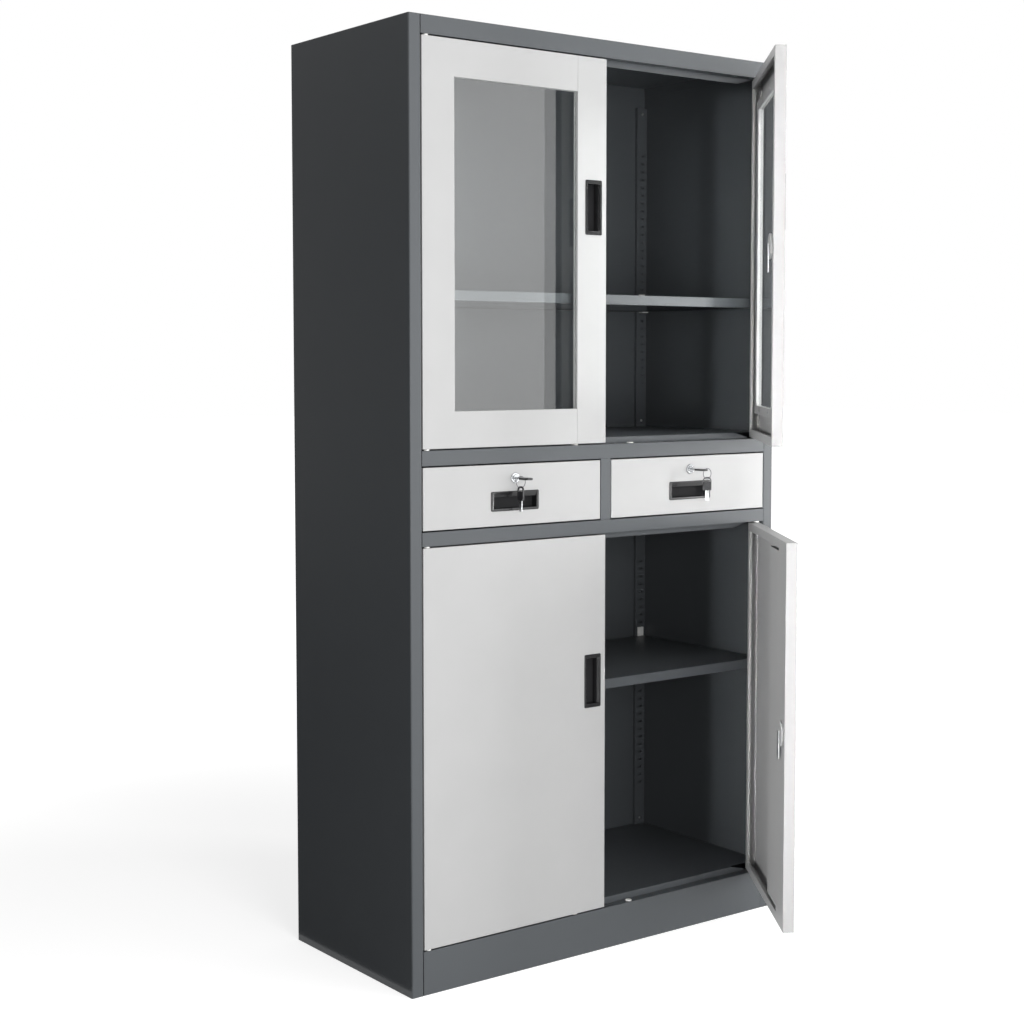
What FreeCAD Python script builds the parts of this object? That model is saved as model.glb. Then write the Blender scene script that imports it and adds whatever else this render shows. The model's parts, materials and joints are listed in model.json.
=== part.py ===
"""Metal office cabinet: two glazed upper doors, two drawers and two lower doors in a folded sheet carcass.

Millimetres. +Z is up, the front faces -Y, and the origin is on the floor under the middle of the carcass.
The left-hand doors are closed and the right-hand doors stand open.
"""
import FreeCAD
import Part
import Sketcher
import math
import os
import re

DRIVING = {
    # carcass
    "cabinet_width": 950,
    "cabinet_depth": 430,
    "cabinet_height": 1850,
    "sheet": 0.8,
    "bend_radius": 3,
    "post_width": 27,
    "post_depth": 26,
    "post_return": 20,
    "rear_flange": 25,
    "top_rail_height": 35,
    "upper_rail_height": 29,
    "lower_rail_height": 27,
    "apron_height": 85,
    "rail_return": 18,
    "joint_flange": 20,
    "divider_width": 26,
    "cut_overrun": 1,
    # gaps round the doors and drawers, and the rebate that the doors close into
    "front_gap": 3,
    "side_gap": 2,
    "meeting_gap": 2,
    "rebate_depth": 23.5,
    "stop_height": 13,
    "stop_end": 28,
    "stop_taper": 38,
    "stop_tip": 3,
    "notch_depth": 30,
    # doors and their hinges
    "lower_door_height": 770,
    "door_thickness": 22,
    "door_flange": 18,
    "flange_lip": 6,
    "lock_flange": 80,
    "hinge_inset": 12,
    "hinge_setback": 6,
    "pin_radius": 3,
    "pin_length": 14,
    "pin_play": 0.05,
    "bush_radius": 5.5,
    "bush_play": 0.3,
    "upper_door_angle": 51,
    "lower_door_angle": 55,
    # glazing of the upper doors
    "window_stile": 73.5,
    "window_rail": 70,
    "window_return": 6,
    "seam_gap": 0.4,
    "tongue_length": 30,
    "tongue_height": 35,
    "tongue_inset": 5,
    "glass_thickness": 4,
    "glass_overlap": 8,
    "bead_sheet": 1,
    "bead_play": 1,
    "bead_depth": 15,
    "bead_width": 18,
    "hinge_bead_width": 37,
    # stiffener of the lower doors
    "stiffener_width": 105,
    "stiffener_foot": 12,
    "stiffener_depth": 19,
    "stiffener_gap": 2,
    "stiffener_end": 25,
    # pulls
    "pull_proud": 2,
    "pull_rim": 2,
    "pull_depth": 16,
    "pull_floor": 1.5,
    "pull_corner": 3,
    "pull_edge": 0.8,
    "pull_bevel": 4,
    "pull_play": 0.3,
    "door_pull_width": 42,
    "door_pull_height": 109,
    "door_pull_inset": 33,
    "door_pull_drop": 296,
    "door_recess_width": 26,
    "door_recess_height": 93,
    "drawer_pull_width": 116,
    "drawer_pull_height": 38.5,
    "drawer_pull_rise": 28.5,
    "drawer_recess_width": 104,
    "drawer_recess_height": 22,
    "drawer_recess_rise": 5,
    "grip_thickness": 4,
    "grip_slope": 2.5,
    "grip_rise": 7,
    # locks
    "lock_ring_radius": 10.3,
    "lock_ring_thickness": 2.5,
    "lock_barrel_radius": 8,
    "lock_barrel_play": 0.1,
    "lock_barrel_length": 20,
    "plug_radius": 6,
    "plug_play": 0.05,
    "plug_proud": 0.5,
    "keyway_width": 9,
    "keyway_height": 2.6,
    "keyway_depth": 20,
    "cam_length": 38,
    "cam_width": 12,
    "cam_thickness": 2,
    "cam_play": 0.3,
    "drawer_lock_drop": 27,
    "door_lock_drop": 380,
    "door_cam_length": 50,
    "lock_cover_radius": 25,
    "lock_cover_thickness": 5,
    # keys
    "blade_width": 8,
    "blade_thickness": 2.2,
    "blade_length": 18,
    "spare_blade_length": 22,
    "collar_radius": 2.5,
    "collar_length": 20,
    "bow_length": 28,
    "bow_width": 18,
    "bow_thickness": 4,
    "bow_corner": 2,
    "bow_bar": 2,
    "hoop_radius": 8.5,
    "eye_width": 14,
    "eye_length": 8,
    "ring_radius": 11,
    "ring_wire_radius": 0.8,
    "ring_play": 0.3,
    "ring_offset": 16,
    "spare_turn": 42,
    "spare_lift": 1,
    # drawers
    "drawer_front_height": 119,
    "drawer_pan_depth": 18,
    "drawer_flange": 16,
    "tray_depth": 390,
    "tray_height": 88,
    "tray_rise": 6,
    "tray_notch_width": 50,
    "tray_notch_depth": 18,
    "slide_width": 12.5,
    "slide_sheet": 1.2,
    "slide_height": 34,
    "slide_rise": 27,
    "slide_play": 0.4,
    "slide_flange": 10,
    "slide_reach": 8,
    "slide_setback": 2,
    # shelves, uprights and clips
    "shelf_thickness": 20,
    "shelf_hem": 12,
    "shelf_play": 0.5,
    "upright_width": 29,
    "upright_depth": 8,
    "slot_pitch": 18.4,
    "slot_start": 102,
    "slot_width": 12,
    "slot_height": 5,
    "upper_shelf_slot": 11,
    "lower_shelf_slot": 20,
    "clip_width": 18,
    "clip_thickness": 2,
    "clip_tongue": 14,
    "clip_rise": 21,
    "hook_rise": 14,
    "hook_play": 1,
    "hook_length": 2,
    "screw_radius": 3,
    "screw_height": 1.6,
    "screw_inset": 14,
    # glide buttons and latch slots on the ledges
    "button_radius": 7,
    "button_height": 2.2,
    "button_edge": 1,
    "button_offset": 73,
    "button_setback": 10,
    "latch_slot_length": 20,
    "latch_slot_width": 4,
    "latch_slot_offset": 22,
    "latch_slot_setback": 13,
}

WORKED_OUT = {
    # planes of the carcass
    "half_width": "cabinet_width / 2",
    "front": "-cabinet_depth / 2",
    "skin_back": "front + sheet",
    "rear": "cabinet_depth / 2",
    "side_face": "half_width - sheet",
    "back_face": "rear - 2 * sheet",
    "jamb": "half_width - post_width",
    "post_back": "front + post_depth",
    "ledge_end": "front + rebate_depth",
    "notch_back": "front + notch_depth",
    "stop_edge": "jamb - stop_end",
    "wall_top": "cabinet_height - sheet",
    # levels, from the floor up
    "lower_door_bottom": "apron_height + front_gap",
    "lower_door_top": "lower_door_bottom + lower_door_height",
    "lower_rail_bottom": "lower_door_top + front_gap",
    "lower_rail_top": "lower_rail_bottom + lower_rail_height",
    "drawer_bottom": "lower_rail_top + front_gap",
    "drawer_top": "drawer_bottom + drawer_front_height",
    "upper_rail_bottom": "drawer_top + front_gap",
    "upper_rail_top": "upper_rail_bottom + upper_rail_height",
    "upper_door_bottom": "upper_rail_top + front_gap",
    "top_rail_bottom": "cabinet_height - top_rail_height",
    "upper_door_top": "top_rail_bottom - front_gap",
    "lower_floor": "apron_height + stop_height",
    "lower_stop": "lower_rail_bottom - stop_height",
    "upper_floor": "upper_rail_top + stop_height",
    "upper_stop": "top_rail_bottom - stop_height",
    # doors
    "door_hinge_edge": "-(jamb - side_gap)",
    "door_free_edge": "-meeting_gap / 2",
    "door_back": "front + door_thickness",
    "pivot_side": "door_hinge_edge + hinge_inset",
    "pivot_depth": "front + hinge_setback",
    "window_left": "door_hinge_edge + window_stile",
    "window_right": "door_free_edge - window_stile",
    "window_bottom": "upper_door_bottom + window_rail",
    "window_top": "upper_door_top - window_rail",
    "glass_front": "front + window_return",
    "glass_back": "glass_front + glass_thickness",
    "bead_back": "front + bead_depth",
    "door_pull_side": "door_free_edge - door_pull_inset",
    # drawers
    "drawer_middle": "-(jamb + divider_width / 2) / 2",
    "drawer_left": "-(jamb - side_gap)",
    "drawer_right": "-(divider_width / 2 + side_gap)",
    "drawer_back": "front + drawer_pan_depth",
    "tray_left": "-jamb + slide_width",
    "tray_right": "-divider_width / 2 - slide_width",
    "tray_bottom": "drawer_bottom + tray_rise",
    "tray_top": "tray_bottom + tray_height",
    "tray_back": "drawer_back + tray_depth",
    "slide_bottom": "tray_bottom + slide_rise",
    "slide_top": "slide_bottom + slide_height",
    "slide_inset": "slide_sheet + slide_play",
    "slide_front": "drawer_back + slide_setback",
    "drawer_lock_level": "drawer_top - drawer_lock_drop",
    # locks and keys
    "lock_face": "front - lock_ring_thickness",
    "plug_face": "lock_face - plug_proud",
    "bow_face": "plug_face - collar_length",
    "bow_end": "bow_face - bow_length",
    "eye_end": "bow_end + bow_bar",
    "eye_depth": "eye_end + eye_length / 2",
    "eye_bar_side": "(bow_width + eye_width) / 4",
    "ring_depth": "plug_face - ring_offset",
    "ring_level": "drawer_lock_level + collar_radius + ring_play + ring_wire_radius - ring_radius",
    "spare_eye_top": "ring_level - ring_radius + ring_wire_radius + ring_play",
    "spare_top": "spare_eye_top + bow_bar",
    "spare_bottom": "spare_top - bow_length",
    # shelves
    "upright_face": "back_face - upright_depth",
    "lower_slot_count": "floor((lower_stop - lower_floor - 2 * slot_start) / slot_pitch) + 1",
    "upper_slot_count": "floor((upper_stop - upper_floor - 2 * slot_start) / slot_pitch) + 1",
    "shelf_side": "side_face - shelf_play",
    "shelf_front": "post_back + clip_thickness + shelf_play",
    "shelf_back": "upright_face - clip_thickness - shelf_play",
    "upper_shelf_top": "upper_floor + slot_start + upper_shelf_slot * slot_pitch - hook_rise",
    "lower_shelf_top": "lower_floor + slot_start + lower_shelf_slot * slot_pitch - hook_rise",
}

doc = FreeCAD.newDocument("office_cabinet")


def write_sheet(name, rows):
    """A spreadsheet with one named cell in each row"""
    table = doc.addObject("Spreadsheet::Sheet", name)
    for row, (alias, content) in enumerate(rows.items(), 1):
        table.set(f"A{row}", alias)
        table.set(f"B{row}", str(content))
        table.setAlias(f"B{row}", alias)
    return table


def bound(text):
    """The expression with each size and place read from its own sheet"""
    def cell(word):
        name = word.group()
        if name in DRIVING:
            return f"sizes.{name}"
        return f"places.{name}" if name in WORKED_OUT else name
    return re.sub(r"[a-z][a-z_]*", cell, text)


sizes = write_sheet("sizes", DRIVING)
places = write_sheet("places", {alias: "=" + bound(text) for alias, text in WORKED_OUT.items()})
doc.recompute()

NODES = {}

# outlines: each is a list of corners, or a circle, written in the names of the sheets

WAYS = {"+x": (1, 0), "-x": (-1, 0), "+y": (0, 1), "-y": (0, -1)}


def rectangle(left, bottom, right, top):
    return [(left, bottom), (right, bottom), (right, top), (left, top)]


def inset(left, bottom, right, top, by):
    """A rectangle drawn in by the same amount on all four sides"""
    return rectangle(f"({left}) + {by}", f"({bottom}) + {by}", f"({right}) - {by}", f"({top}) - {by}")


def circle(across, up, radius):
    return (across, up, radius)


def shifted_by(text, amount, thickness):
    """The coordinate, moved by the thickness one way or the other, or left where it is"""
    return {0: text, 1: f"({text}) + {thickness}", -1: f"({text}) - {thickness}"}[amount]


def fold(start, moves, side, thickness="sheet"):
    """Outline of a sheet folded along square moves, with its thickness on one side of the line"""
    line = [start]
    for way, reach in moves:
        across, up = line[-1]
        line.append((reach, up) if way.endswith("x") else (across, reach))
    hand = 1 if side == "left" else -1
    normals = [(-hand * WAYS[way][1], hand * WAYS[way][0]) for way, reach in moves]
    far_line = []
    for index, (across, up) in enumerate(line):
        meeting = normals[max(index - 1, 0):index + 1]
        shift_across = sum(normal[0] for normal in meeting)
        shift_up = sum(normal[1] for normal in meeting)
        far_line.append((shifted_by(across, shift_across, thickness), shifted_by(up, shift_up, thickness)))
    return line + far_line[::-1]


def draw(sketch, outline):
    """Draws a closed outline, with every corner held at its named distances from the origin"""
    if isinstance(outline, tuple):
        across, up, radius = outline
        ring = Part.Circle(FreeCAD.Vector(0, 0, 0), FreeCAD.Vector(0, 0, 1), 1)
        edge = sketch.addGeometry(ring, False)
        held = [("DistanceX", edge, 3, across), ("DistanceY", edge, 3, up)]
        size = sketch.addConstraint(Sketcher.Constraint("Radius", edge, 1))
        sketch.setExpression(f"Constraints[{size}]", bound(radius))
    else:
        turn = 2 * math.pi / len(outline)
        loose = [FreeCAD.Vector(math.cos(i * turn), math.sin(i * turn), 0) for i in range(len(outline))]
        lines = [Part.LineSegment(here, there) for here, there in zip(loose, loose[1:] + loose[:1])]
        edges = list(sketch.addGeometry(lines, False))
        joins = zip(edges, edges[1:] + edges[:1])
        sketch.addConstraint([Sketcher.Constraint("Coincident", here, 2, there, 1) for here, there in joins])
        held = []
        for edge, (across, up) in zip(edges, outline):
            held.append(("DistanceX", edge, 1, across))
            held.append(("DistanceY", edge, 1, up))
    for kind, edge, point, text in held:
        place = sketch.getPoint(edge, point)
        now = place.x if kind == "DistanceX" else place.y
        index = sketch.addConstraint(Sketcher.Constraint(kind, -1, 1, edge, point, now))
        sketch.setExpression(f"Constraints[{index}]", bound(text))


class Piece:
    """A body made of outlines that are padded and pocketed along an axis, in the cabinet's own frame"""

    def __init__(self, label):
        self.body = doc.addObject("PartDesign::Body", label)

    def origin(self, role):
        return next(feature for feature in self.body.Origin.OriginFeatures if feature.Role == role)

    def sketch(self, plane, outlines, start):
        """Outlines on XY, XZ or YZ at a place along the third axis, as (X, Y), (X, Z) or (Y, Z)"""
        sketch = self.body.newObject("Sketcher::SketchObject", "outline")
        sketch.AttachmentSupport = [(self.origin(plane + "_Plane"), "")]
        sketch.MapMode = "FlatFace"
        height = f"-({start})" if plane == "XZ" else start
        sketch.setExpression("AttachmentOffset.Base.z", bound(height))
        for outline in outlines:
            draw(sketch, outline)
        return sketch

    def pad(self, plane, outlines, start, length):
        """Adds material from start towards the positive end of the axis"""
        sketch = self.sketch(plane, outlines, start)
        pad = self.body.newObject("PartDesign::Pad", "pad")
        pad.Profile = sketch
        pad.setExpression("Length", bound(length))
        pad.Reversed = plane == "XZ"
        return self

    def pocket(self, plane, outlines, start, length):
        """Takes material away from start towards the positive end of the axis"""
        sketch = self.sketch(plane, outlines, start)
        pocket = self.body.newObject("PartDesign::Pocket", "pocket")
        pocket.Profile = sketch
        pocket.setExpression("Length", bound(length))
        pocket.Reversed = plane != "XZ"
        return self

    def pocket_through(self, plane, outlines, start, length):
        """A pocket that overruns the material by the same amount at both ends"""
        return self.pocket(plane, outlines, f"{start} - cut_overrun", f"{length} + 2 * cut_overrun")

    def repeat_up(self, count, pitch):
        """Repeats the last pocket up the Z axis"""
        pattern = self.body.newObject("PartDesign::LinearPattern", "row")
        pattern.Originals = [self.body.Group[-2]]
        pattern.Direction = (self.origin("Z_Axis"), [""])
        pattern.setExpression("Length", bound(f"{pitch} * ({count} - 1)"))
        pattern.setExpression("Occurrences", bound(count))
        self.body.Tip = pattern
        return self

    def dress(self, kind, size_name, size, chosen):
        """Rounds or bevels the chosen edges of the body as it is now"""
        doc.recompute()
        base = self.body.Tip
        edges = [f"Edge{number}" for number, edge in enumerate(base.Shape.Edges, 1) if chosen(edge)]
        dressed = self.body.newObject(f"PartDesign::{kind}", kind.lower())
        dressed.Base = (base, edges)
        dressed.setExpression(size_name, bound(size))
        return self

    def fillet(self, radius, chosen):
        return self.dress("Fillet", "Radius", radius, chosen)

    def chamfer(self, size, chosen):
        return self.dress("Chamfer", "Size", size, chosen)


def runs_along(axis):
    """Chooses the straight edges that are parallel to an axis"""
    def chosen(edge):
        if not isinstance(edge.Curve, Part.Line):
            return False
        return abs(edge.Curve.Direction.dot(FreeCAD.Vector(*axis))) > math.cos(math.radians(1))
    return chosen


def lies_at(axis, place):
    """Chooses the edges that lie in the plane across an axis at a named place"""
    def chosen(edge):
        level = places.get(place) if place in WORKED_OUT else place
        along = [vertex.Point.dot(FreeCAD.Vector(*axis)) for vertex in edge.Vertexes]
        return all(math.isclose(reach, level, abs_tol=Part.Precision.approximation()) for reach in along)
    return chosen


def both(first, second):
    """Chooses the edges that two choosers agree on"""
    return lambda edge: first(edge) and second(edge)


def size_of(name):
    return float(sizes.get(name))


def keep(label, thing):
    """Names a finished piece of the cabinet"""
    made = thing.body if isinstance(thing, Piece) else thing
    made.Label = label
    NODES[label] = made
    return made


def mirrored(source):
    """The same piece on the other side of the middle plane"""
    copy = doc.addObject("Part::Mirroring", "mirrored")
    copy.Source = source
    copy.Normal = FreeCAD.Vector(1, 0, 0)
    return copy


def group(things):
    """Like pieces that share one node, as separate solids"""
    together = doc.addObject("Part::Compound", "group")
    together.Links = things
    return together


def swung_open(source, angle):
    """A left-hand door piece mirrored to the right-hand post and turned about the hinge there"""
    copy = mirrored(source)
    turn = f"rotation(vector(0; 0; 1); {bound(angle)})"
    centre = f"vector({bound('-pivot_side')}; {bound('pivot_depth')}; 0)"
    copy.setExpression("Placement", f"placement(vector(0; 0; 0); {turn}; {centre})")
    return copy


# carcass

def side_panel():
    """Side wall folded round the front post and in at the back, with slots for the shelf clips in the post"""
    piece = Piece("left_side")
    section = fold(
        ("-half_width + rear_flange", "rear"),
        [
            ("-x", "-half_width"),
            ("-y", "front"),
            ("+x", "-jamb"),
            ("+y", "post_back"),
            ("-x", "-jamb - post_return"),
        ],
        "left",
    )
    piece.pad("XY", [section], "0", "wall_top")
    upright_edge = runs_along((0, 0, 1))
    piece.fillet("bend_radius", both(upright_edge, lies_at((0, 1, 0), "front")))
    piece.fillet("bend_radius - sheet", both(upright_edge, lies_at((0, 1, 0), "skin_back")))
    for tier in ("lower", "upper"):
        slot = slot_outline("-jamb - post_return / 2", f"{tier}_floor")
        piece.pocket_through("XZ", [slot], "post_back - sheet", "sheet")
        piece.repeat_up(f"{tier}_slot_count", "slot_pitch")
    return piece


def slot_outline(middle, floor):
    """The lowest of a row of slots, by the middle of its width and the floor that it stands over"""
    level = f"{floor} + slot_start"
    return rectangle(
        f"{middle} - slot_width / 2",
        f"{level} - slot_height / 2",
        f"{middle} + slot_width / 2",
        f"{level} + slot_height / 2",
    )


def top_panel():
    """Top plate over the walls, with the top rail, its ledge and the hanging door stop folded from it"""
    piece = Piece("top")
    plate = rectangle("-half_width", "front", "half_width", "rear")
    piece.pad("XY", [plate], "wall_top", "sheet")
    piece.fillet("bend_radius", both(runs_along((0, 0, 1)), lies_at((0, 1, 0), "front")))
    rail = fold(
        ("front", "wall_top"),
        [("-y", "top_rail_bottom"), ("+x", "ledge_end")],
        "left",
    )
    piece.pad("YZ", [rail], "-jamb", "2 * jamb")
    stop = rectangle("ledge_end - sheet", "upper_stop", "ledge_end", "top_rail_bottom + sheet")
    piece.pad("YZ", [stop], "-stop_edge", "2 * stop_edge")
    taper_stop(piece, "upper_stop", "top_rail_bottom - stop_tip", "sheet")
    side_flanges(piece, "wall_top")
    return piece


def taper_stop(piece, edge, tip, depth):
    """Cuts both ends of a door stop at a slant, from its free edge to the tip that is left at its end"""
    for hand in ("-", "+"):
        corner = [
            (f"{hand}(stop_edge - stop_taper)", edge),
            (f"{hand}stop_edge", tip),
            (f"{hand}stop_edge", edge),
        ]
        piece.pocket("XZ", [corner], "ledge_end - sheet", depth)


def side_flanges(piece, level):
    """Flanges turned down at both ends of a plate, against the side walls"""
    for left in ("-side_face", "side_face - sheet"):
        flange = rectangle(left, "notch_back", f"{left} + sheet", "back_face")
        piece.pad("XY", [flange], f"{level} - joint_flange", "joint_flange")


def raised_floor(label, rail_bottom, rail_top, floor, rail_flange):
    """A floor plate whose front folds down to a door stop, a ledge and a front rail"""
    piece = Piece(label)
    rail = fold(
        (f"front + {rail_flange}", rail_bottom),
        [("-x", "front"), ("+y", rail_top), ("+x", "ledge_end")],
        "right",
    )
    piece.pad("YZ", [rail], "-jamb", "2 * jamb")
    step = fold(
        ("ledge_end - sheet", f"{rail_top} - sheet"),
        [("+y", floor), ("+x", "notch_back")],
        "right",
    )
    piece.pad("YZ", [step], "-stop_edge", "2 * stop_edge")
    taper_stop(piece, floor, f"{rail_top} + stop_tip", "notch_back - ledge_end + sheet")
    plate = rectangle("-side_face", "notch_back", "side_face", "back_face")
    piece.pad("XY", [plate], f"{floor} - sheet", "sheet")
    side_flanges(piece, f"{floor} - sheet")
    latch_slot = rectangle(
        "latch_slot_offset - latch_slot_length / 2",
        "front + latch_slot_setback - latch_slot_width / 2",
        "latch_slot_offset + latch_slot_length / 2",
        "front + latch_slot_setback + latch_slot_width / 2",
    )
    piece.pocket_through("XY", [latch_slot], f"{rail_top} - sheet", "sheet")
    return piece


def lower_deck():
    """Plate under the drawers, with the rail below it and the hanging door stop of the lower doors"""
    piece = Piece("lower_deck")
    section = fold(
        ("post_back", "lower_rail_top"),
        [("-x", "front"), ("-y", "lower_rail_bottom"), ("+x", "ledge_end")],
        "left",
    )
    piece.pad("YZ", [section], "-jamb", "2 * jamb")
    stop = rectangle("ledge_end - sheet", "lower_stop", "ledge_end", "lower_rail_bottom + sheet")
    piece.pad("YZ", [stop], "-stop_edge", "2 * stop_edge")
    taper_stop(piece, "lower_stop", "lower_rail_bottom - stop_tip", "sheet")
    plate = rectangle("-side_face", "post_back", "side_face", "back_face")
    piece.pad("XY", [plate], "lower_rail_top - sheet", "sheet")
    side_flanges(piece, "lower_rail_top - sheet")
    return piece


def drawer_divider():
    """Channel between the drawers, whose front is the stile"""
    section = fold(
        ("-divider_width / 2", "back_face"),
        [("-y", "front"), ("+x", "divider_width / 2"), ("+y", "back_face")],
        "left",
    )
    return Piece("divider").pad("XY", [section], "lower_rail_top", "upper_rail_bottom - lower_rail_top")


def upright(tier):
    """Slotted channel in the left rear corner, from a tier's floor up to the door stop's level"""
    floor = f"{tier}_floor"
    piece = Piece("upright")
    section = fold(
        ("-side_face", "back_face"),
        [("-y", "upright_face"), ("+x", "-side_face + upright_width"), ("+y", "back_face")],
        "left",
    )
    piece.pad("XY", [section], floor, f"{tier}_stop - {floor}")
    slot = slot_outline("-side_face + upright_width / 2", floor)
    piece.pocket_through("XZ", [slot], "upright_face", "sheet")
    return piece.repeat_up(f"{tier}_slot_count", "slot_pitch").body


def shelf(label, top):
    """Shelf pan with lips turned down on four sides and hems turned in under them"""
    piece = Piece(label)
    outer = ("-shelf_side", "shelf_front", "shelf_side", "shelf_back")
    piece.pad("XY", [rectangle(*outer)], f"{top} - sheet", "sheet")
    bottom = f"{top} - shelf_thickness"
    piece.pad("XY", [rectangle(*outer), inset(*outer, "sheet")], bottom, "shelf_thickness")
    piece.pad("XY", [rectangle(*outer), inset(*outer, "shelf_hem")], bottom, "sheet")
    return piece


def shelf_clip(face, way, middle, top):
    """Clip hung in a slot: a plate on the slotted face, a hook through it and a tongue under the shelf"""
    piece = Piece("clip")
    bottom = f"({top}) - shelf_thickness"
    sign = way[0]
    section = fold(
        (face, f"({top}) + clip_rise"),
        [("-y", f"{bottom} - clip_thickness"), (way, f"{face} {sign} clip_tongue")],
        "right" if way == "-x" else "left",
        "clip_thickness",
    )
    piece.pad("YZ", [section], f"{middle} - clip_width / 2", "clip_width")
    level = f"({top}) + hook_rise"
    reach = "sheet + hook_length"
    start = f"{face} - ({reach})" if way == "+x" else face
    hook = rectangle(
        f"{middle} - slot_width / 2 + hook_play",
        f"{level} - slot_height / 2 + hook_play",
        f"{middle} + slot_width / 2 - hook_play",
        f"{level} + slot_height / 2 - hook_play",
    )
    piece.pad("XZ", [hook], start, reach)
    return piece.body


def shelf_clips():
    """Four clips for each shelf, on the uprights and on the backs of the posts"""
    clips = []
    for top in ("upper_shelf_top", "lower_shelf_top"):
        clips.append(shelf_clip("upright_face", "-x", "-side_face + upright_width / 2", top))
        clips.append(shelf_clip("post_back", "+x", "-jamb - post_return / 2", top))
    return group(clips + [mirrored(clip) for clip in clips])


def hinge_stacks():
    """The pins welded to the ledges and the bushes that the doors turn on, above and below each door"""
    pins = []
    bushes = []
    thickness = "front_gap - bush_play"
    seats = (
        ("apron_height", 1),
        ("lower_rail_bottom", -1),
        ("upper_rail_top", 1),
        ("top_rail_bottom", -1),
    )
    for ledge, way in seats:
        pin_start = ledge if way > 0 else f"{ledge} - pin_length"
        bush_start = ledge if way > 0 else f"{ledge} - ({thickness})"
        pin = circle("pivot_side", "pivot_depth", "pin_radius")
        rim = circle("pivot_side", "pivot_depth", "bush_radius")
        bore = circle("pivot_side", "pivot_depth", "pin_radius + pin_play")
        pins.append(Piece("pin").pad("XY", [pin], pin_start, "pin_length").body)
        bushes.append(Piece("bush").pad("XY", [rim, bore], bush_start, thickness).body)
    keep("hinge_pins", group(pins + [mirrored(pin) for pin in pins]))
    keep("hinge_bushes", group(bushes + [mirrored(bush) for bush in bushes]))


def glide_buttons():
    """Round buttons on the ledges under the doors"""
    buttons = []
    for ledge in ("apron_height", "upper_rail_top"):
        piece = Piece("button")
        rim = circle("-button_offset", "front + button_setback", "button_radius")
        piece.pad("XY", [rim], ledge, "button_height")
        level = places.get(ledge) if ledge in WORKED_OUT else size_of(ledge)
        top = level + size_of("button_height")
        piece.fillet("button_edge", lies_at((0, 0, 1), top))
        buttons.append(piece.body)
    return group(buttons + [mirrored(button) for button in buttons])


def upright_screws():
    """Screw heads on the faces of the uprights, near both ends"""
    screws = []
    ends = (
        ("lower_floor", 1),
        ("lower_stop", -1),
        ("upper_floor", 1),
        ("upper_stop", -1),
    )
    for end, way in ends:
        level = f"{end} + screw_inset" if way > 0 else f"{end} - screw_inset"
        head = circle("-side_face + upright_width / 2", level, "screw_radius")
        screws.append(Piece("screw").pad("XZ", [head], "upright_face - screw_height", "screw_height").body)
    return group(screws + [mirrored(screw) for screw in screws])


def slide_channel(web, flange_way, reach, margin, start, end):
    """Runner channel whose flanges point one way from its web, along the drawer's travel"""
    top = f"slide_top - {margin}"
    bottom = f"slide_bottom + {margin}"
    away = "-x" if flange_way == "+x" else "+x"
    edge = f"{web} {flange_way[0]} {reach}"
    section = fold(
        (edge, top),
        [(away, web), ("-y", bottom), (flange_way, edge)],
        "left" if flange_way == "+x" else "right",
        "slide_sheet",
    )
    return Piece("slide").pad("XZ", [section], start, f"{end} - ({start})").body


def cabinet_runners():
    """The fixed runners of both drawers, on the posts and on the divider"""
    pair = [
        slide_channel("-jamb", "+x", "slide_flange", "0", "slide_front", "back_face"),
        slide_channel("-divider_width / 2", "-x", "slide_flange", "0", "slide_front", "back_face"),
    ]
    return group(pair + [mirrored(slide) for slide in pair])


def carcass():
    left = keep("left_side_panel", side_panel())
    keep("right_side_panel", mirrored(left))
    back = rectangle("-side_face", "0", "side_face", "wall_top")
    keep("back_panel", Piece("back").pad("XZ", [back], "back_face", "sheet"))
    keep("top_panel", top_panel())
    deck = raised_floor("upper_deck", "upper_rail_bottom", "upper_rail_top", "upper_floor", "rail_return")
    keep("upper_deck", deck)
    keep("lower_deck", lower_deck())
    keep("floor_pan", raised_floor("floor", "0", "apron_height", "lower_floor", "rail_return"))
    keep("drawer_divider", drawer_divider())
    uprights = [upright("lower"), upright("upper")]
    keep("shelf_uprights", group(uprights + [mirrored(strip) for strip in uprights]))
    keep("upright_screws", upright_screws())
    keep("upper_shelf", shelf("upper_shelf_pan", "upper_shelf_top"))
    keep("lower_shelf", shelf("lower_shelf_pan", "lower_shelf_top"))
    keep("shelf_clips", shelf_clips())
    hinge_stacks()
    keep("glide_buttons", glide_buttons())
    keep("drawer_cabinet_runners", cabinet_runners())


# doors, each built closed at the left-hand post

def pin_holes(piece, bottom, top):
    """Holes in the top and bottom edges of a door for its hinge pins"""
    hole = circle("pivot_side", "pivot_depth", "pin_radius + pin_play")
    piece.pocket_through("XY", [hole], bottom, "sheet")
    piece.pocket_through("XY", [hole], f"{top} - sheet", "sheet")


def pull_hole(piece, top):
    """Opening in a door's skin for the cup of its pull"""
    level = f"{top} - door_pull_drop"
    grow = "pull_play - pull_rim"
    hole = rectangle(
        f"door_pull_side - door_pull_width / 2 - ({grow})",
        f"{level} - door_pull_height / 2 - ({grow})",
        f"door_pull_side + door_pull_width / 2 + {grow}",
        f"{level} + door_pull_height / 2 + {grow}",
    )
    piece.pocket_through("XZ", [hole], "front", "sheet")


def lock_hole(piece, top, length):
    """Hole through the skin of a door, and through what lies behind it, for the barrel of its lock"""
    hole = circle("door_pull_side", f"{top} - door_lock_drop", "lock_barrel_radius + lock_barrel_play")
    piece.pocket_through("XZ", [hole], "front", length)


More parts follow.
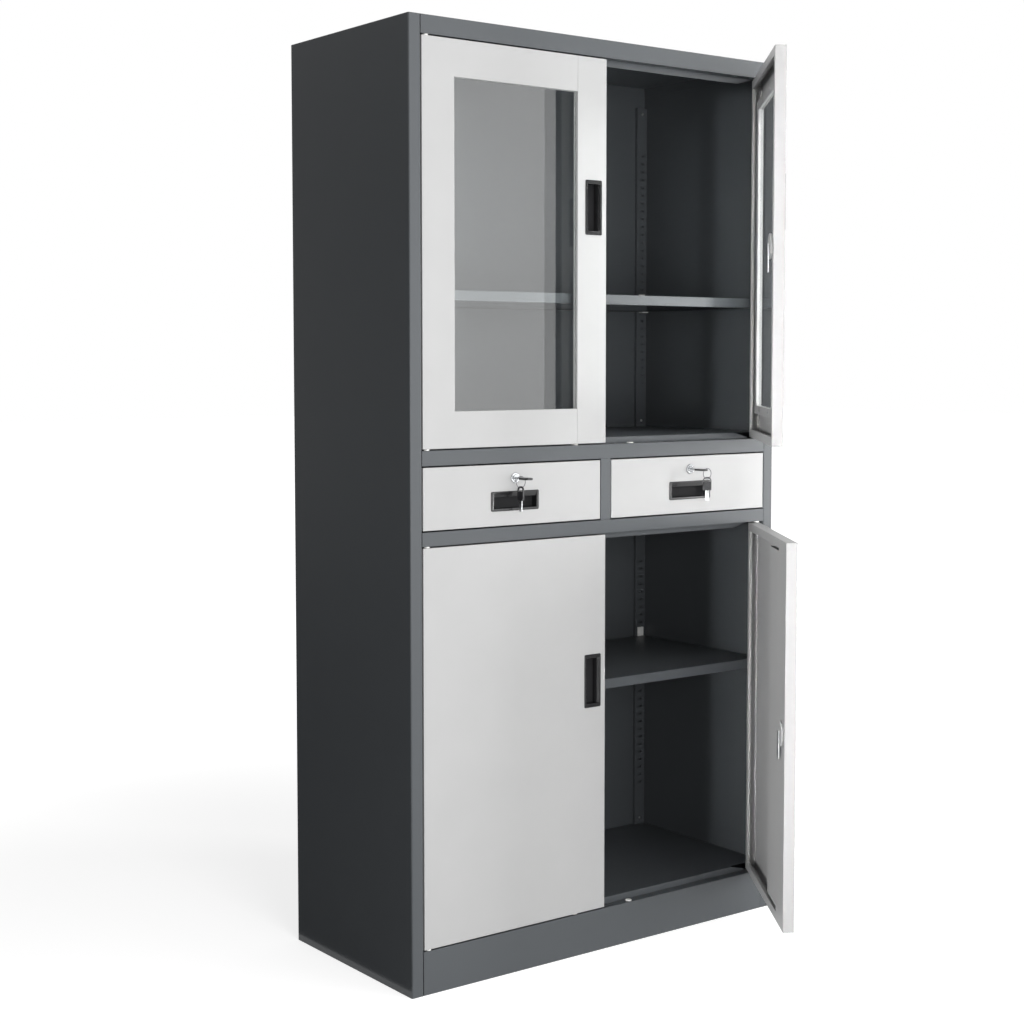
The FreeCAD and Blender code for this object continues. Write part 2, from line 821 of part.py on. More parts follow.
def upper_door_frame():
    """Hinge stile and both rails of a glazed door in one folded sheet"""
    piece = Piece("door_frame")
    seam = "window_right - seam_gap"
    skin = [
        ("door_hinge_edge", "upper_door_bottom"),
        (seam, "upper_door_bottom"),
        (seam, "window_bottom"),
        ("window_left", "window_bottom"),
        ("window_left", "window_top"),
        (seam, "window_top"),
        (seam, "upper_door_top"),
        ("door_hinge_edge", "upper_door_top"),
    ]
    piece.pad("XZ", [skin], "front", "sheet")
    start = (seam, "upper_door_bottom")
    moves = [("-x", "door_hinge_edge"), ("+y", "upper_door_top"), ("+x", seam)]
    piece.pad("XZ", [fold(start, moves, "right")], "front", "door_thickness")
    piece.pad("XZ", [fold(start, moves, "right", "door_flange")], "door_back - sheet", "sheet")
    start = (seam, "upper_door_bottom + door_flange")
    moves = [
        ("-x", "door_hinge_edge + door_flange"),
        ("+y", "upper_door_top - door_flange"),
        ("+x", seam),
    ]
    piece.pad("XZ", [fold(start, moves, "left")], "door_back - flange_lip", "flange_lip")
    start = (seam, "window_bottom")
    moves = [("-x", "window_left"), ("+y", "window_top"), ("+x", seam)]
    piece.pad("XZ", [fold(start, moves, "left")], "front", "window_return")
    pin_holes(piece, "upper_door_bottom", "upper_door_top")
    return piece.body


def upper_door_stile(locked):
    """Lock stile of a glazed door, with tongues that lie behind the rails of the frame"""
    piece = Piece("door_stile")
    skin = rectangle("window_right", "upper_door_bottom", "door_free_edge", "upper_door_top")
    piece.pad("XZ", [skin], "front", "sheet")
    start = ("window_right", "upper_door_bottom")
    moves = [("+x", "door_free_edge"), ("+y", "upper_door_top"), ("-x", "window_right")]
    piece.pad("XZ", [fold(start, moves, "left")], "front", "door_thickness")
    piece.pad("XZ", [fold(start, moves, "left", "door_flange")], "door_back - sheet", "sheet")
    edge = rectangle("window_right", "upper_door_bottom", "window_right + sheet", "upper_door_top")
    piece.pad("XZ", [edge], "front", "window_return")
    bottom_tongue = "upper_door_bottom + tongue_inset"
    top_tongue = "upper_door_top - tongue_inset - tongue_height"
    for level in (bottom_tongue, top_tongue):
        tongue = rectangle(
            "window_right - tongue_length", level, "window_right + tongue_inset", f"{level} + tongue_height"
        )
        piece.pad("XZ", [tongue], "skin_back", "sheet")
    pull_hole(piece, "upper_door_top")
    if locked:
        lock_hole(piece, "upper_door_top", "sheet")
    return piece.body


def upper_door_glass():
    pane = rectangle(
        "window_left - glass_overlap",
        "window_bottom - glass_overlap",
        "window_right + glass_overlap",
        "window_top + glass_overlap",
    )
    return Piece("glass").pad("XZ", [pane], "glass_front", "glass_thickness").body


def upper_door_beads():
    """Four channel strips that hold the glass, each with one leg on the skin and one on the glass"""
    left = fold(
        ("window_left - hinge_bead_width", "skin_back"),
        [("+y", "bead_back"), ("+x", "window_left"), ("-y", "glass_back")],
        "right",
        "bead_sheet",
    )
    right = fold(
        ("window_right + bead_width", "skin_back"),
        [("+y", "bead_back"), ("-x", "window_right"), ("-y", "glass_back")],
        "left",
        "bead_sheet",
    )
    bottom = fold(
        ("skin_back", "window_bottom - bead_width"),
        [("+x", "bead_back"), ("+y", "window_bottom"), ("-x", "glass_back")],
        "left",
        "bead_sheet",
    )
    top = fold(
        ("skin_back", "window_top + bead_width"),
        [("+x", "bead_back"), ("-y", "window_top"), ("-x", "glass_back")],
        "right",
        "bead_sheet",
    )
    height = "window_top - window_bottom + 2 * bead_width"
    width = "window_right - window_left - 2 * bead_play"
    beads = []
    for section in (left, right):
        beads.append(Piece("bead").pad("XY", [section], "window_bottom - bead_width", height).body)
    for section in (bottom, top):
        beads.append(Piece("bead").pad("YZ", [section], "window_left + bead_play", width).body)
    return group(beads)


def lower_door_pan(locked):
    """Folded pan of a lower door, with a wide flange along its free edge"""
    piece = Piece("door_pan")
    outer = ("door_hinge_edge", "lower_door_bottom", "door_free_edge", "lower_door_top")
    piece.pad("XZ", [rectangle(*outer)], "front", "sheet")
    piece.pad("XZ", [rectangle(*outer), inset(*outer, "sheet")], "front", "door_thickness")
    opening = rectangle(
        "door_hinge_edge + door_flange",
        "lower_door_bottom + door_flange",
        "door_free_edge - lock_flange",
        "lower_door_top - door_flange",
    )
    piece.pad("XZ", [rectangle(*outer), opening], "door_back - sheet", "sheet")
    lip = rectangle(
        "door_hinge_edge + door_flange - sheet",
        "lower_door_bottom + door_flange - sheet",
        "door_free_edge - lock_flange + sheet",
        "lower_door_top - door_flange + sheet",
    )
    piece.pad("XZ", [lip, opening], "door_back - flange_lip", "flange_lip")
    pin_holes(piece, "lower_door_bottom", "lower_door_top")
    pull_hole(piece, "lower_door_top")
    if locked:
        lock_hole(piece, "lower_door_top", "door_thickness")
    return piece.body


def lower_door_stiffener():
    """Hat section on the back of a lower door's skin, beside the wide flange"""
    right = "door_free_edge - lock_flange - stiffener_gap"
    left = f"{right} - stiffener_width"
    section = fold(
        (f"{left} - stiffener_foot", "skin_back"),
        [
            ("+x", left),
            ("+y", "front + stiffener_depth"),
            ("+x", right),
            ("-y", "skin_back"),
            ("+x", f"{right} + stiffener_foot"),
        ],
        "left",
    )
    piece = Piece("stiffener")
    height = "lower_door_height - 2 * stiffener_end"
    return piece.pad("XY", [section], "lower_door_bottom + stiffener_end", height).body


def pull(middle, level, width, height, recess):
    """Moulded pull: a rim on the skin, a cup behind it and the recess for the fingers"""
    piece = Piece("pull")
    left = f"{middle} - {width} / 2"
    right = f"{middle} + {width} / 2"
    bottom = f"{level} - {height} / 2"
    top = f"{level} + {height} / 2"
    face = places.get("front") - size_of("pull_proud")
    piece.pad("XZ", [rectangle(left, bottom, right, top)], "front - pull_proud", "pull_proud")
    piece.fillet("pull_corner", runs_along((0, 1, 0)))
    piece.chamfer("pull_edge", lies_at((0, 1, 0), face))
    piece.pad("XZ", [inset(left, bottom, right, top, "pull_rim")], "front", "pull_depth")
    piece.pocket("XZ", [recess], "front - pull_proud", "pull_proud + pull_depth - pull_floor")
    return piece


def door_pull(top):
    """Upright pull near the free edge of a door, with bevels into its recess"""
    level = f"{top} - door_pull_drop"
    recess = rectangle(
        "door_pull_side - door_recess_width / 2",
        f"{level} - door_recess_height / 2",
        "door_pull_side + door_recess_width / 2",
        f"{level} + door_recess_height / 2",
    )
    piece = pull("door_pull_side", level, "door_pull_width", "door_pull_height", recess)
    doc.recompute()
    face = places.get("front") - size_of("pull_proud")
    side = places.get("door_pull_side")
    reach = size_of("door_recess_width") / 2

    def mouth(edge):
        """The long edges of the recess, at the face of the rim"""
        if not (lies_at((0, 1, 0), face)(edge) and runs_along((0, 0, 1))(edge)):
            return False
        away = abs(edge.CenterOfMass.x - side)
        return math.isclose(away, reach, abs_tol=Part.Precision.approximation())

    return piece.chamfer("pull_bevel", mouth).body


def door_lock(top):
    """Case, plug and cam of a door's lock, with the cam hanging down, unlocked"""
    level = f"{top} - door_lock_drop"
    case = Piece("lock_case")
    case.pad("XZ", [circle("door_pull_side", level, "lock_ring_radius")], "lock_face", "lock_ring_thickness")
    case.pad("XZ", [circle("door_pull_side", level, "lock_barrel_radius")], "front", "door_thickness")
    cover = circle("door_pull_side", level, "lock_cover_radius")
    case.pad("XZ", [cover], "door_back", "lock_cover_thickness")
    bore = circle("door_pull_side", level, "plug_radius + plug_play")
    depth = "lock_ring_thickness + door_thickness + lock_cover_thickness"
    case.pocket_through("XZ", [bore], "lock_face", depth)
    plug_end = "door_back + lock_cover_thickness + cam_play"
    keyway = ("keyway_height", "keyway_width")
    plug = lock_plug("door_pull_side", level, plug_end, *keyway)
    arm = rectangle(
        "door_pull_side - cam_width / 2",
        f"{level} - door_cam_length",
        "door_pull_side + cam_width / 2",
        f"{level} + cam_width / 2",
    )
    cam = Piece("lock_cam").pad("XZ", [arm], plug_end, "cam_thickness")
    return case.body, plug, cam.body


def lock_plug(middle, level, end, keyway_across, keyway_up):
    """Plug that turns in a lock case, with a keyway in its face"""
    plug = Piece("lock_plug")
    plug.pad("XZ", [circle(middle, level, "plug_radius")], "plug_face", f"{end} - (plug_face)")
    keyway = rectangle(
        f"{middle} - {keyway_across} / 2",
        f"{level} - {keyway_up} / 2",
        f"{middle} + {keyway_across} / 2",
        f"{level} + {keyway_up} / 2",
    )
    plug.pocket("XZ", [keyway], "plug_face", "keyway_depth")
    return plug.body


def upper_door(side, finish):
    """All pieces of a glazed door, handed to finish with their names"""
    locked = side == "right"
    finish(f"upper_{side}_door_frame", upper_door_frame())
    finish(f"upper_{side}_door_lock_stile", upper_door_stile(locked))
    finish(f"upper_{side}_door_glass", upper_door_glass())
    finish(f"upper_{side}_door_glazing_beads", upper_door_beads())
    finish(f"upper_{side}_door_pull", door_pull("upper_door_top"))


def lower_door(side, finish):
    """All pieces of a plain door, handed to finish with their names"""
    locked = side == "right"
    finish(f"lower_{side}_door_pan", lower_door_pan(locked))
    finish(f"lower_{side}_door_stiffener", lower_door_stiffener())
    finish(f"lower_{side}_door_pull", door_pull("lower_door_top"))


def doors():
    """Left-hand doors as built, and right-hand ones mirrored and swung open with their locks"""
    upper_door("left", keep)
    lower_door("left", keep)
    right_hand = (("upper", upper_door, "upper_door_angle"), ("lower", lower_door, "lower_door_angle"))
    for tier, build, angle in right_hand:
        def hang(label, source):
            keep(label, swung_open(source, angle))
        build("right", hang)
        for name, source in zip(("case", "plug", "cam"), door_lock(f"{tier}_door_top")):
            hang(f"{tier}_right_door_lock_{name}", source)


# drawers, built on the left and repeated on the right

def drawer_front():
    """Folded front pan of a drawer, with the openings for its pull and lock"""
    piece = Piece("drawer_front")
    outer = ("drawer_left", "drawer_bottom", "drawer_right", "drawer_top")
    piece.pad("XZ", [rectangle(*outer)], "front", "sheet")
    piece.pad("XZ", [rectangle(*outer), inset(*outer, "sheet")], "front", "drawer_pan_depth")
    left = rectangle("drawer_left", "drawer_bottom", "drawer_left + drawer_flange", "drawer_top")
    right = rectangle("drawer_right - drawer_flange", "drawer_bottom", "drawer_right", "drawer_top")
    for flange in (left, right):
        piece.pad("XZ", [flange], "drawer_back - sheet", "sheet")
    grow = "pull_play - pull_rim"
    bottom = "drawer_bottom + drawer_pull_rise"
    hole = rectangle(
        f"drawer_middle - drawer_pull_width / 2 - ({grow})",
        f"{bottom} - ({grow})",
        f"drawer_middle + drawer_pull_width / 2 + {grow}",
        f"{bottom} + drawer_pull_height + {grow}",
    )
    piece.pocket_through("XZ", [hole], "front", "sheet")
    barrel = circle("drawer_middle", "drawer_lock_level", "lock_barrel_radius + lock_barrel_play")
    return piece.pocket_through("XZ", [barrel], "front", "sheet").body


def drawer_tray():
    """Open tray behind the front, notched in front round the lock"""
    piece = Piece("tray")
    outer = ("tray_left", "drawer_back", "tray_right", "tray_back")
    piece.pad("XY", [rectangle(*outer)], "tray_bottom", "sheet")
    piece.pad("XY", [rectangle(*outer), inset(*outer, "sheet")], "tray_bottom", "tray_height")
    notch = rectangle(
        "drawer_middle - tray_notch_width / 2",
        "tray_top - tray_notch_depth",
        "drawer_middle + tray_notch_width / 2",
        "tray_top + cut_overrun",
    )
    return piece.pocket_through("XZ", [notch], "drawer_back", "sheet").body


def drawer_pull():
    """Level pull of a drawer, with finger room behind its upper lip, which slopes in to the recess"""
    bottom = "drawer_bottom + drawer_pull_rise"
    level = f"{bottom} + drawer_pull_height / 2"
    recess_bottom = f"{bottom} + drawer_recess_rise"
    recess_top = f"{recess_bottom} + drawer_recess_height"
    left = "drawer_middle - drawer_recess_width / 2"
    right = "drawer_middle + drawer_recess_width / 2"
    recess = rectangle(left, recess_bottom, right, recess_top)
    piece = pull("drawer_middle", level, "drawer_pull_width", "drawer_pull_height", recess)
    room = rectangle(left, recess_bottom, right, f"{recess_top} + grip_rise")
    piece.pocket("XZ", [room], "front - pull_proud + grip_thickness",
                 "pull_proud + pull_depth - pull_floor - grip_thickness")
    slope = [
        ("front - pull_proud", f"{bottom} + drawer_pull_height - pull_rim"),
        ("front - pull_proud", recess_top),
        ("front - pull_proud + grip_slope", recess_top),
    ]
    return piece.pocket("YZ", [slope], left, "drawer_recess_width").body


def drawer_slides():
    """The two runner channels on the sides of the tray"""
    end = "tray_back"
    start = "slide_front"
    return group([
        slide_channel("tray_left", "-x", "slide_reach", "slide_inset", start, end),
        slide_channel("tray_right", "+x", "slide_reach", "slide_inset", start, end),
    ])


def drawer_lock():
    """Case, plug and cam of a drawer's lock, with the cam lying level, unlocked"""
    middle = "drawer_middle"
    level = "drawer_lock_level"
    case = Piece("lock_case")
    case.pad("XZ", [circle(middle, level, "lock_ring_radius")], "lock_face", "lock_ring_thickness")
    case.pad("XZ", [circle(middle, level, "lock_barrel_radius")], "front", "lock_barrel_length")
    bore = circle(middle, level, "plug_radius + plug_play")
    case.pocket_through("XZ", [bore], "lock_face", "lock_ring_thickness + lock_barrel_length")
    plug_end = "front + lock_barrel_length + cam_play"
    plug = lock_plug(middle, level, plug_end, "keyway_width", "keyway_height")
    arm = rectangle(
        f"{middle} - cam_length",
        f"{level} - cam_width / 2",
        f"{middle} + cam_width / 2",
        f"{level} + cam_width / 2",
    )
    cam = Piece("lock_cam").pad("XZ", [arm], plug_end, "cam_thickness")
    return case.body, plug, cam.body


def drawer_key():
    """Key in the lock: a blade in the keyway, a round collar and a level moulded bow with an eye"""
    middle = "drawer_middle"
    level = "drawer_lock_level"
    blade = Piece("key_blade")
    blade.pad("XZ", [circle(middle, level, "collar_radius")], "bow_face", "collar_length")
    flat = rectangle(
        f"{middle} - blade_width / 2",
        f"{level} - blade_thickness / 2",
        f"{middle} + blade_width / 2",
        f"{level} + blade_thickness / 2",
    )
    blade.pad("XZ", [flat], "plug_face", "blade_length")
    bow = Piece("key_bow")
    outer = rectangle(f"{middle} - bow_width / 2", "bow_end", f"{middle} + bow_width / 2", "bow_face")
    bow.pad("XY", [outer], f"{level} - bow_thickness / 2", "bow_thickness")
    upright_edge = runs_along((0, 0, 1))
    bow.fillet("bow_corner", both(upright_edge, lies_at((0, 1, 0), "bow_face")))
    eye = rectangle(
        f"{middle} - eye_width / 2",
        "eye_end",
        f"{middle} + eye_width / 2",
        "eye_end + eye_length",
    )
    bow.pocket_through("XY", [eye], f"{level} - bow_thickness / 2", "bow_thickness")
    bow.fillet("hoop_radius - bow_bar", both(upright_edge, lies_at((0, 1, 0), "eye_end")))
    bow.fillet("hoop_radius", both(upright_edge, lies_at((0, 1, 0), "bow_end")))
    return group([blade.body, bow.body])


def key_ring():
    """Wire ring that hangs on the collar of the key in the lock"""
    ring = doc.addObject("Part::Torus", "ring")
    ring.setExpression("Radius1", bound("ring_radius"))
    ring.setExpression("Radius2", bound("ring_wire_radius"))
    ring.Placement = FreeCAD.Placement(FreeCAD.Vector(), FreeCAD.Rotation(FreeCAD.Vector(1, 0, 0), 90))
    ring.setExpression("Placement.Base.x", bound("drawer_middle"))
    ring.setExpression("Placement.Base.y", bound("ring_depth"))
    ring.setExpression("Placement.Base.z", bound("ring_level"))
    return ring


def spare_key():
    """Second key, hanging on the ring by the eye of its bow"""
    middle = "drawer_middle"
    bow = Piece("spare_bow")
    outer = rectangle("ring_depth - bow_width / 2", "spare_bottom", "ring_depth + bow_width / 2", "spare_top")
    bow.pad("YZ", [outer], f"{middle} - bow_thickness / 2", "bow_thickness")
    level_edge = runs_along((1, 0, 0))
    bow.fillet("bow_corner", both(level_edge, lies_at((0, 0, 1), "spare_bottom")))
    eye = rectangle(
        "ring_depth - eye_width / 2",
        "spare_eye_top - eye_length",
        "ring_depth + eye_width / 2",
        "spare_eye_top",
    )
    bow.pocket_through("YZ", [eye], f"{middle} - bow_thickness / 2", "bow_thickness")
    bow.fillet("hoop_radius - bow_bar", both(level_edge, lies_at((0, 0, 1), "spare_eye_top")))
    bow.fillet("hoop_radius", both(level_edge, lies_at((0, 0, 1), "spare_top")))
    blade = Piece("spare_blade")
    flat = rectangle(
        "ring_depth - blade_width / 2",
        "spare_bottom - spare_blade_length",
        "ring_depth + blade_width / 2",
        "spare_bottom",
    )
    blade.pad("YZ", [flat], f"{middle} - blade_thickness / 2", "blade_thickness")
    return group([bow.body, blade.body])


def moved(source, across, back="0", up="0", turn="0"):
    """A copy of a drawer's piece, moved, and turned about the upright line through the left key ring"""
    copy = group([source])
    shift = f"vector({bound(across)}; {bound(back)}; {bound(up)})"
    turning = f"rotation(vector(0; 0; 1); {bound(turn)})"
    centre = f"vector({bound('drawer_middle')}; {bound('ring_depth')}; 0)"
    copy.setExpression("Placement", f"placement({shift}; {turning}; {centre})")
    return copy


def drawers():
    """Every piece of the left-hand drawer, and its copy on the right, where the ring hangs in the key's eye"""
    case, plug, cam = drawer_lock()
    pieces = {
        "front": drawer_front(),
        "tray": drawer_tray(),
        "pull": drawer_pull(),
        "runners": drawer_slides(),
        "lock_case": case,
        "lock_plug": plug,
        "lock_cam": cam,
        "key": drawer_key(),
    }
    across = "-2 * drawer_middle"
    for name, source in pieces.items():
        keep(f"left_drawer_{name}", source)
        keep(f"right_drawer_{name}", moved(source, across))
    ring = keep("left_drawer_key_ring", key_ring())
    spare = keep("left_drawer_spare_key", spare_key())
    to_eye = (f"{across} + eye_bar_side", "eye_depth - ring_depth")
    drop = "bow_thickness / 2 - collar_radius"
    keep("right_drawer_key_ring", moved(ring, *to_eye, drop))
    keep("right_drawer_spare_key", moved(spare, *to_eye, f"{drop} + spare_lift", "spare_turn"))


def check_document():
    """Stops if any object failed, a pocket cut nothing or a piece is missing its solid"""
    for thing in doc.Objects:
        if "Invalid" in thing.State or "Error" in thing.State:
            raise RuntimeError(f"{thing.Label} failed: {thing.State}")
        if thing.isDerivedFrom("PartDesign::Pocket"):
            if not thing.Shape.Volume < thing.BaseFeature.Shape.Volume:
                raise RuntimeError(f"{thing.Label} cuts nothing")
    for label, made in NODES.items():
        if made.Shape.isNull() or not made.Shape.isValid() or not made.Shape.Solids:
            raise RuntimeError(f"{label} has no valid solid")


carcass()
doors()
drawers()
doc.recompute()
check_document()
os.makedirs("parts", exist_ok=True)
for label, made in NODES.items():
    made.Shape.exportStep(f"parts/{label}.step")
print(f"{len(NODES)} pieces written")
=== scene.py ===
"""Finishes, small fittings and studio of a metal office cabinet, dressed on its solid parts.

Metres, in the frame of the parts: +X right, +Y back, +Z up, with the origin on the floor under the carcass.
"""

import json
import math

import bmesh
import bpy
from bpy.props import FloatProperty, FloatVectorProperty, IntProperty, PointerProperty
from mathutils import Matrix, Vector


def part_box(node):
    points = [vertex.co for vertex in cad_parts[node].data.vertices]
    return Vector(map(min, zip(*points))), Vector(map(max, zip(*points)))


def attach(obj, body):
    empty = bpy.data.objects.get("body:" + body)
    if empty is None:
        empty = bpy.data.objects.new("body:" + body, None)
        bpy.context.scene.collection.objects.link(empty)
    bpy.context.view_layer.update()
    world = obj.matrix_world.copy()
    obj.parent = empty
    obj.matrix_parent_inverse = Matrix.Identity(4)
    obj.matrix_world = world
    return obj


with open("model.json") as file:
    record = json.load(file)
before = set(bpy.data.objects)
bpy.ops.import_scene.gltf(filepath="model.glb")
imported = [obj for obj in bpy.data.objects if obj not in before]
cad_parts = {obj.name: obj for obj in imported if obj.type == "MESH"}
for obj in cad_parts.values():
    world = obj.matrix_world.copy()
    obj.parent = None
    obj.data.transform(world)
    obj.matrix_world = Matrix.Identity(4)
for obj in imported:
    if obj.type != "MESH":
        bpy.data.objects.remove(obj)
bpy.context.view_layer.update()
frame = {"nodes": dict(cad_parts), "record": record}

bl_info = {
    "name": "Office Cabinet",
    "version": (1, 0, 0),
    "blender": (4, 5, 0),
    "location": "View3D > Sidebar > Cabinet",
    "description": "Paints a metal office cabinet, adds its small fittings and sets up its studio",
    "category": "Object",
}

NODES = frame["nodes"]
SLOT_OF = {part["node"]: part["material_slot"] for part in frame["record"]["subparts"]}
JOINTS = {joint["name"]: joint for joint in frame["record"]["behaviour"]["joints"]}
INWARD = Vector((0, 1, 0))

# the part of a noise's range that is stretched over the whole of a tint or gloss
NOISE_LOW = 0.3
NOISE_HIGH = 0.7

# how far tint and gloss stray within a finish
PAINT_TINT_SHARES = (0.985, 1.015)
PAINT_GLOSS_STRAY = (-0.05, 0.07)
PLASTIC_TINT_SHARES = (0.9, 1.1)
PLASTIC_GLOSS_SHARES = (0.85, 1.15)
METAL_TINT_SHARES = (0.92, 1.04)
METAL_GLOSS_SHARES = (0.8, 1.2)

# relief of the finishes
GRAINS_IN_PATCH = 30
GRAIN_DEPTH_SHARE = 0.03
STREAK_STRETCH = (1, 0.08, 1)
STREAK_DEPTH_SHARE = 0.01
ROUNDING_SAMPLES = 4

# glass
GLASS_INDEX = 1.52
GLASS_WAVE_SIZE = 0.12
GLASS_WAVE_DEPTH = 0.00002
GLASS_SHADOW_SHARE = 0.94

# rounding of edges on the solids
WELD_GAP = 0.000002
FLAT_ANGLE = math.radians(0.5)
EDGE_ANGLE = math.radians(40)
SHEET_SEGMENTS = 2
MOULDED_SEGMENTS = 3
PLATED_SEGMENTS = 4

# heads of screws and rivets: rings from the seat to the crown, as shares of the radius and height
HEAD_POINTS = 24
HEAD_SHARES = ((1, 0), (1, 0.3), (0.9, 0.65), (0.7, 0.9), (0.58, 1))

# cross recess of a screw: a quarter of its rim as shares of the radius, and its floor as shares of
# the rim and of the head's height
CROSS_SHARES = (0.5, 0.36, 0.16, 0.13, 0.16, 0.36)
CROSS_FLOOR_SHARES = (0.7, 0.35)

# screws of the level glazing beads, as shares of their length
BEAD_ACROSS_SHARES = (0.3, 0.75)

# soft boxes: place, point faced, width and height
KEY_BOX = ((1.2, -3.0, 1.4), (1.2, 0, 1.4), 1.75, 2.2)
RIGHT_BOX = ((3.75, -3.0, 1.45), (3.75, 0, 1.45), 1.4, 2.45)
FILL_BOX = ((-0.9, -3.2, 0.9), (0.1, 0, 0.75), 1.7, 1.7)
GRID_BOX = ((-2.6, -1.3, 1.0), (0.28, -0.42, 0.95), 0.3, 1.9)
TOP_BOX = ((0.2, -2.3, 3.5), (0, -0.1, 1.0), 3.0, 2.0)

# dark cards: a corner and two edges
LEFT_FLAG = ((-2.9, -3.2, 0), (0, 9.7, 0), (0, 0, 3.2))
LEFT_CLOTH = ((-0.48, -0.3, 0.01), (-2.42, 0, 0), (0, 6.8, 0))
GAP_FLAG = ((2.05, -3.04, 0.3), (0.22, 0, 0), (0, 0, 2.4))

# floor and background
FLOOR_REACH = 30
FLOOR_PAINT = (0.55, 0.55, 0.55, 1)
CLOTH_BLACK = (0.03, 0.03, 0.03, 1)
WHITE = (1, 1, 1, 1)


# properties

def colour_property(name, description, default):
    """A colour that a user may change"""
    return FloatVectorProperty(
        name=name, description=description, default=default, subtype="COLOR", size=3, min=0, max=1
    )


def length_property(name, description, default):
    """A size in metres that a user may change"""
    return FloatProperty(name=name, description=description, default=default, unit="LENGTH", precision=5)


def factor_property(name, description, default):
    """A level from 0 to 1 that a user may change"""
    return FloatProperty(
        name=name, description=description, default=default, subtype="FACTOR", min=0, max=1
    )


def angle_property(name, description, degrees):
    """An angle that a user may change, given here in degrees"""
    return FloatProperty(
        name=name, description=description, default=math.radians(degrees), subtype="ANGLE"
    )


def light_property(name, description, default):
    """The radiance of a lamp that a user may change"""
    return FloatProperty(name=name, description=description, default=default, min=0)


class CabinetFinish(bpy.types.PropertyGroup):
    """Colours and surface of the paints, plastics and metals"""

    graphite: colour_property("Graphite", "Powder coat of the carcass and shelves", (0.066, 0.072, 0.078))
    graphite_specular: factor_property("Graphite specular", "Reflection of the carcass", 0.33)
    door_grey: colour_property("Door grey", "Powder coat of the doors and drawers", (0.39, 0.39, 0.39))
    door_specular: factor_property("Door specular", "Reflection of the doors and drawers", 0.4)
    paint_roughness: factor_property("Paint roughness", "Roughness of the satin powder coats", 0.38)
    peel_size: length_property("Orange peel", "Width of one ripple in the powder coats", 0.0016)
    peel_depth: length_property("Peel depth", "Height of the ripples in the powder coats", 0.00002)
    mottle_size: length_property("Mottle", "Width of the faint patches in the powder coats", 0.09)
    bend_glint: length_property("Bend glint", "Width over which a fold in the sheet catches light", 0.0012)
    sheet_bend: length_property("Sheet bend", "Rounding of the edges of the folded sheets", 0.00035)

    pull_black: colour_property("Pull black", "Moulded plastic of the pulls", (0.012, 0.012, 0.013))
    pull_roughness: factor_property("Pull roughness", "Roughness of the glossy lips of the pulls", 0.2)
    recess_roughness: factor_property("Recess roughness", "Roughness of the recesses of the pulls", 0.7)
    recess_specular: factor_property("Recess specular", "Reflection of the recesses of the pulls", 0.15)
    pull_grain: length_property("Pull grain", "Width of the grain of the pulls", 0.0006)
    pull_lip: length_property("Pull lip", "Depth behind the front over which a pull is glossy", 0.004)
    bow_black: colour_property("Bow black", "Moulded plastic of the key bows", (0.015, 0.015, 0.017))
    bow_roughness: factor_property("Bow roughness", "Roughness of the key bows", 0.32)
    bow_grain: length_property("Bow grain", "Width of the grain of the key bows", 0.0004)
    clip_white: colour_property("Clip white", "Plastic of clips, bushes and buttons", (0.78, 0.78, 0.76))
    clip_roughness: factor_property("Clip roughness", "Roughness of clips, bushes and buttons", 0.35)
    clip_grain: length_property("Clip grain", "Width of the grain of clips, bushes and buttons", 0.0005)
    plastic_specular: factor_property("Plastic specular", "Reflection of the other plastics", 0.5)
    moulded_edge: length_property("Moulded edge", "Rounding of the edges of moulded pieces", 0.0006)

    zinc: colour_property("Zinc", "Plated steel of runners, cams and pins", (0.58, 0.59, 0.60))
    zinc_roughness: factor_property("Zinc roughness", "Roughness of runners, cams and pins", 0.32)
    zinc_streak: length_property("Zinc streaks", "Width of the streaks in zinc and wire", 0.0012)
    wire: colour_property("Wire", "Dull wire of the key rings", (0.16, 0.16, 0.17))
    wire_roughness: factor_property("Wire roughness", "Roughness of the key rings", 0.4)
    chrome: colour_property("Chrome", "Plated lock faces", (0.4, 0.41, 0.42))
    chrome_roughness: factor_property("Chrome roughness", "Roughness of the lock faces", 0.09)
    chrome_streak: length_property("Chrome streaks", "Width of the streaks in the lock faces", 0.0008)
    plated_edge: length_property("Plated edge", "Rounding of the edges of plated pieces", 0.0005)
    lock_rim: length_property("Lock rim", "Rounding of the rims of the locks", 0.0018)

    glass_tint: colour_property("Glass tint", "What passes through the panes", (0.95, 0.965, 0.96))


class CabinetFittings(bpy.types.PropertyGroup):
    """Sizes and places of the small fasteners and the keys' bows"""

    screw_radius: length_property("Screw radius", "Radius of the heads on the glazing beads", 0.0032)
    screw_height: length_property("Screw height", "Height of the heads on the glazing beads", 0.0015)
    hinge_bead: length_property("Hinge bead", "From a bead's edge to its screws, beside the hinges", 0.0185)
    other_bead: length_property("Other beads", "From a bead's edge to its screws, elsewhere", 0.009)
    bead_level_shares: FloatVectorProperty(
        name="Bead screws", description="Places of an upright bead's screws, as shares of its height",
        size=3, default=(0.05, 0.4, 0.93)
    )
    rivet_radius: length_property("Rivet radius", "Radius of the rivets in the rear flanges", 0.0034)
    rivet_height: length_property("Rivet height", "Height of the rivets in the rear flanges", 0.0009)
    rivet_inset: length_property("Rivet inset", "From the side walls to the rivets", 0.0125)
    rivet_end: length_property("Rivet end", "From the ends of the flanges to the rivets", 0.06)
    rivet_count: IntProperty(name="Rivets", description="Rivets in each rear flange", default=9, min=2)
    bow_length: length_property("Bow length", "Length of the moulded bow of a key", 0.028)


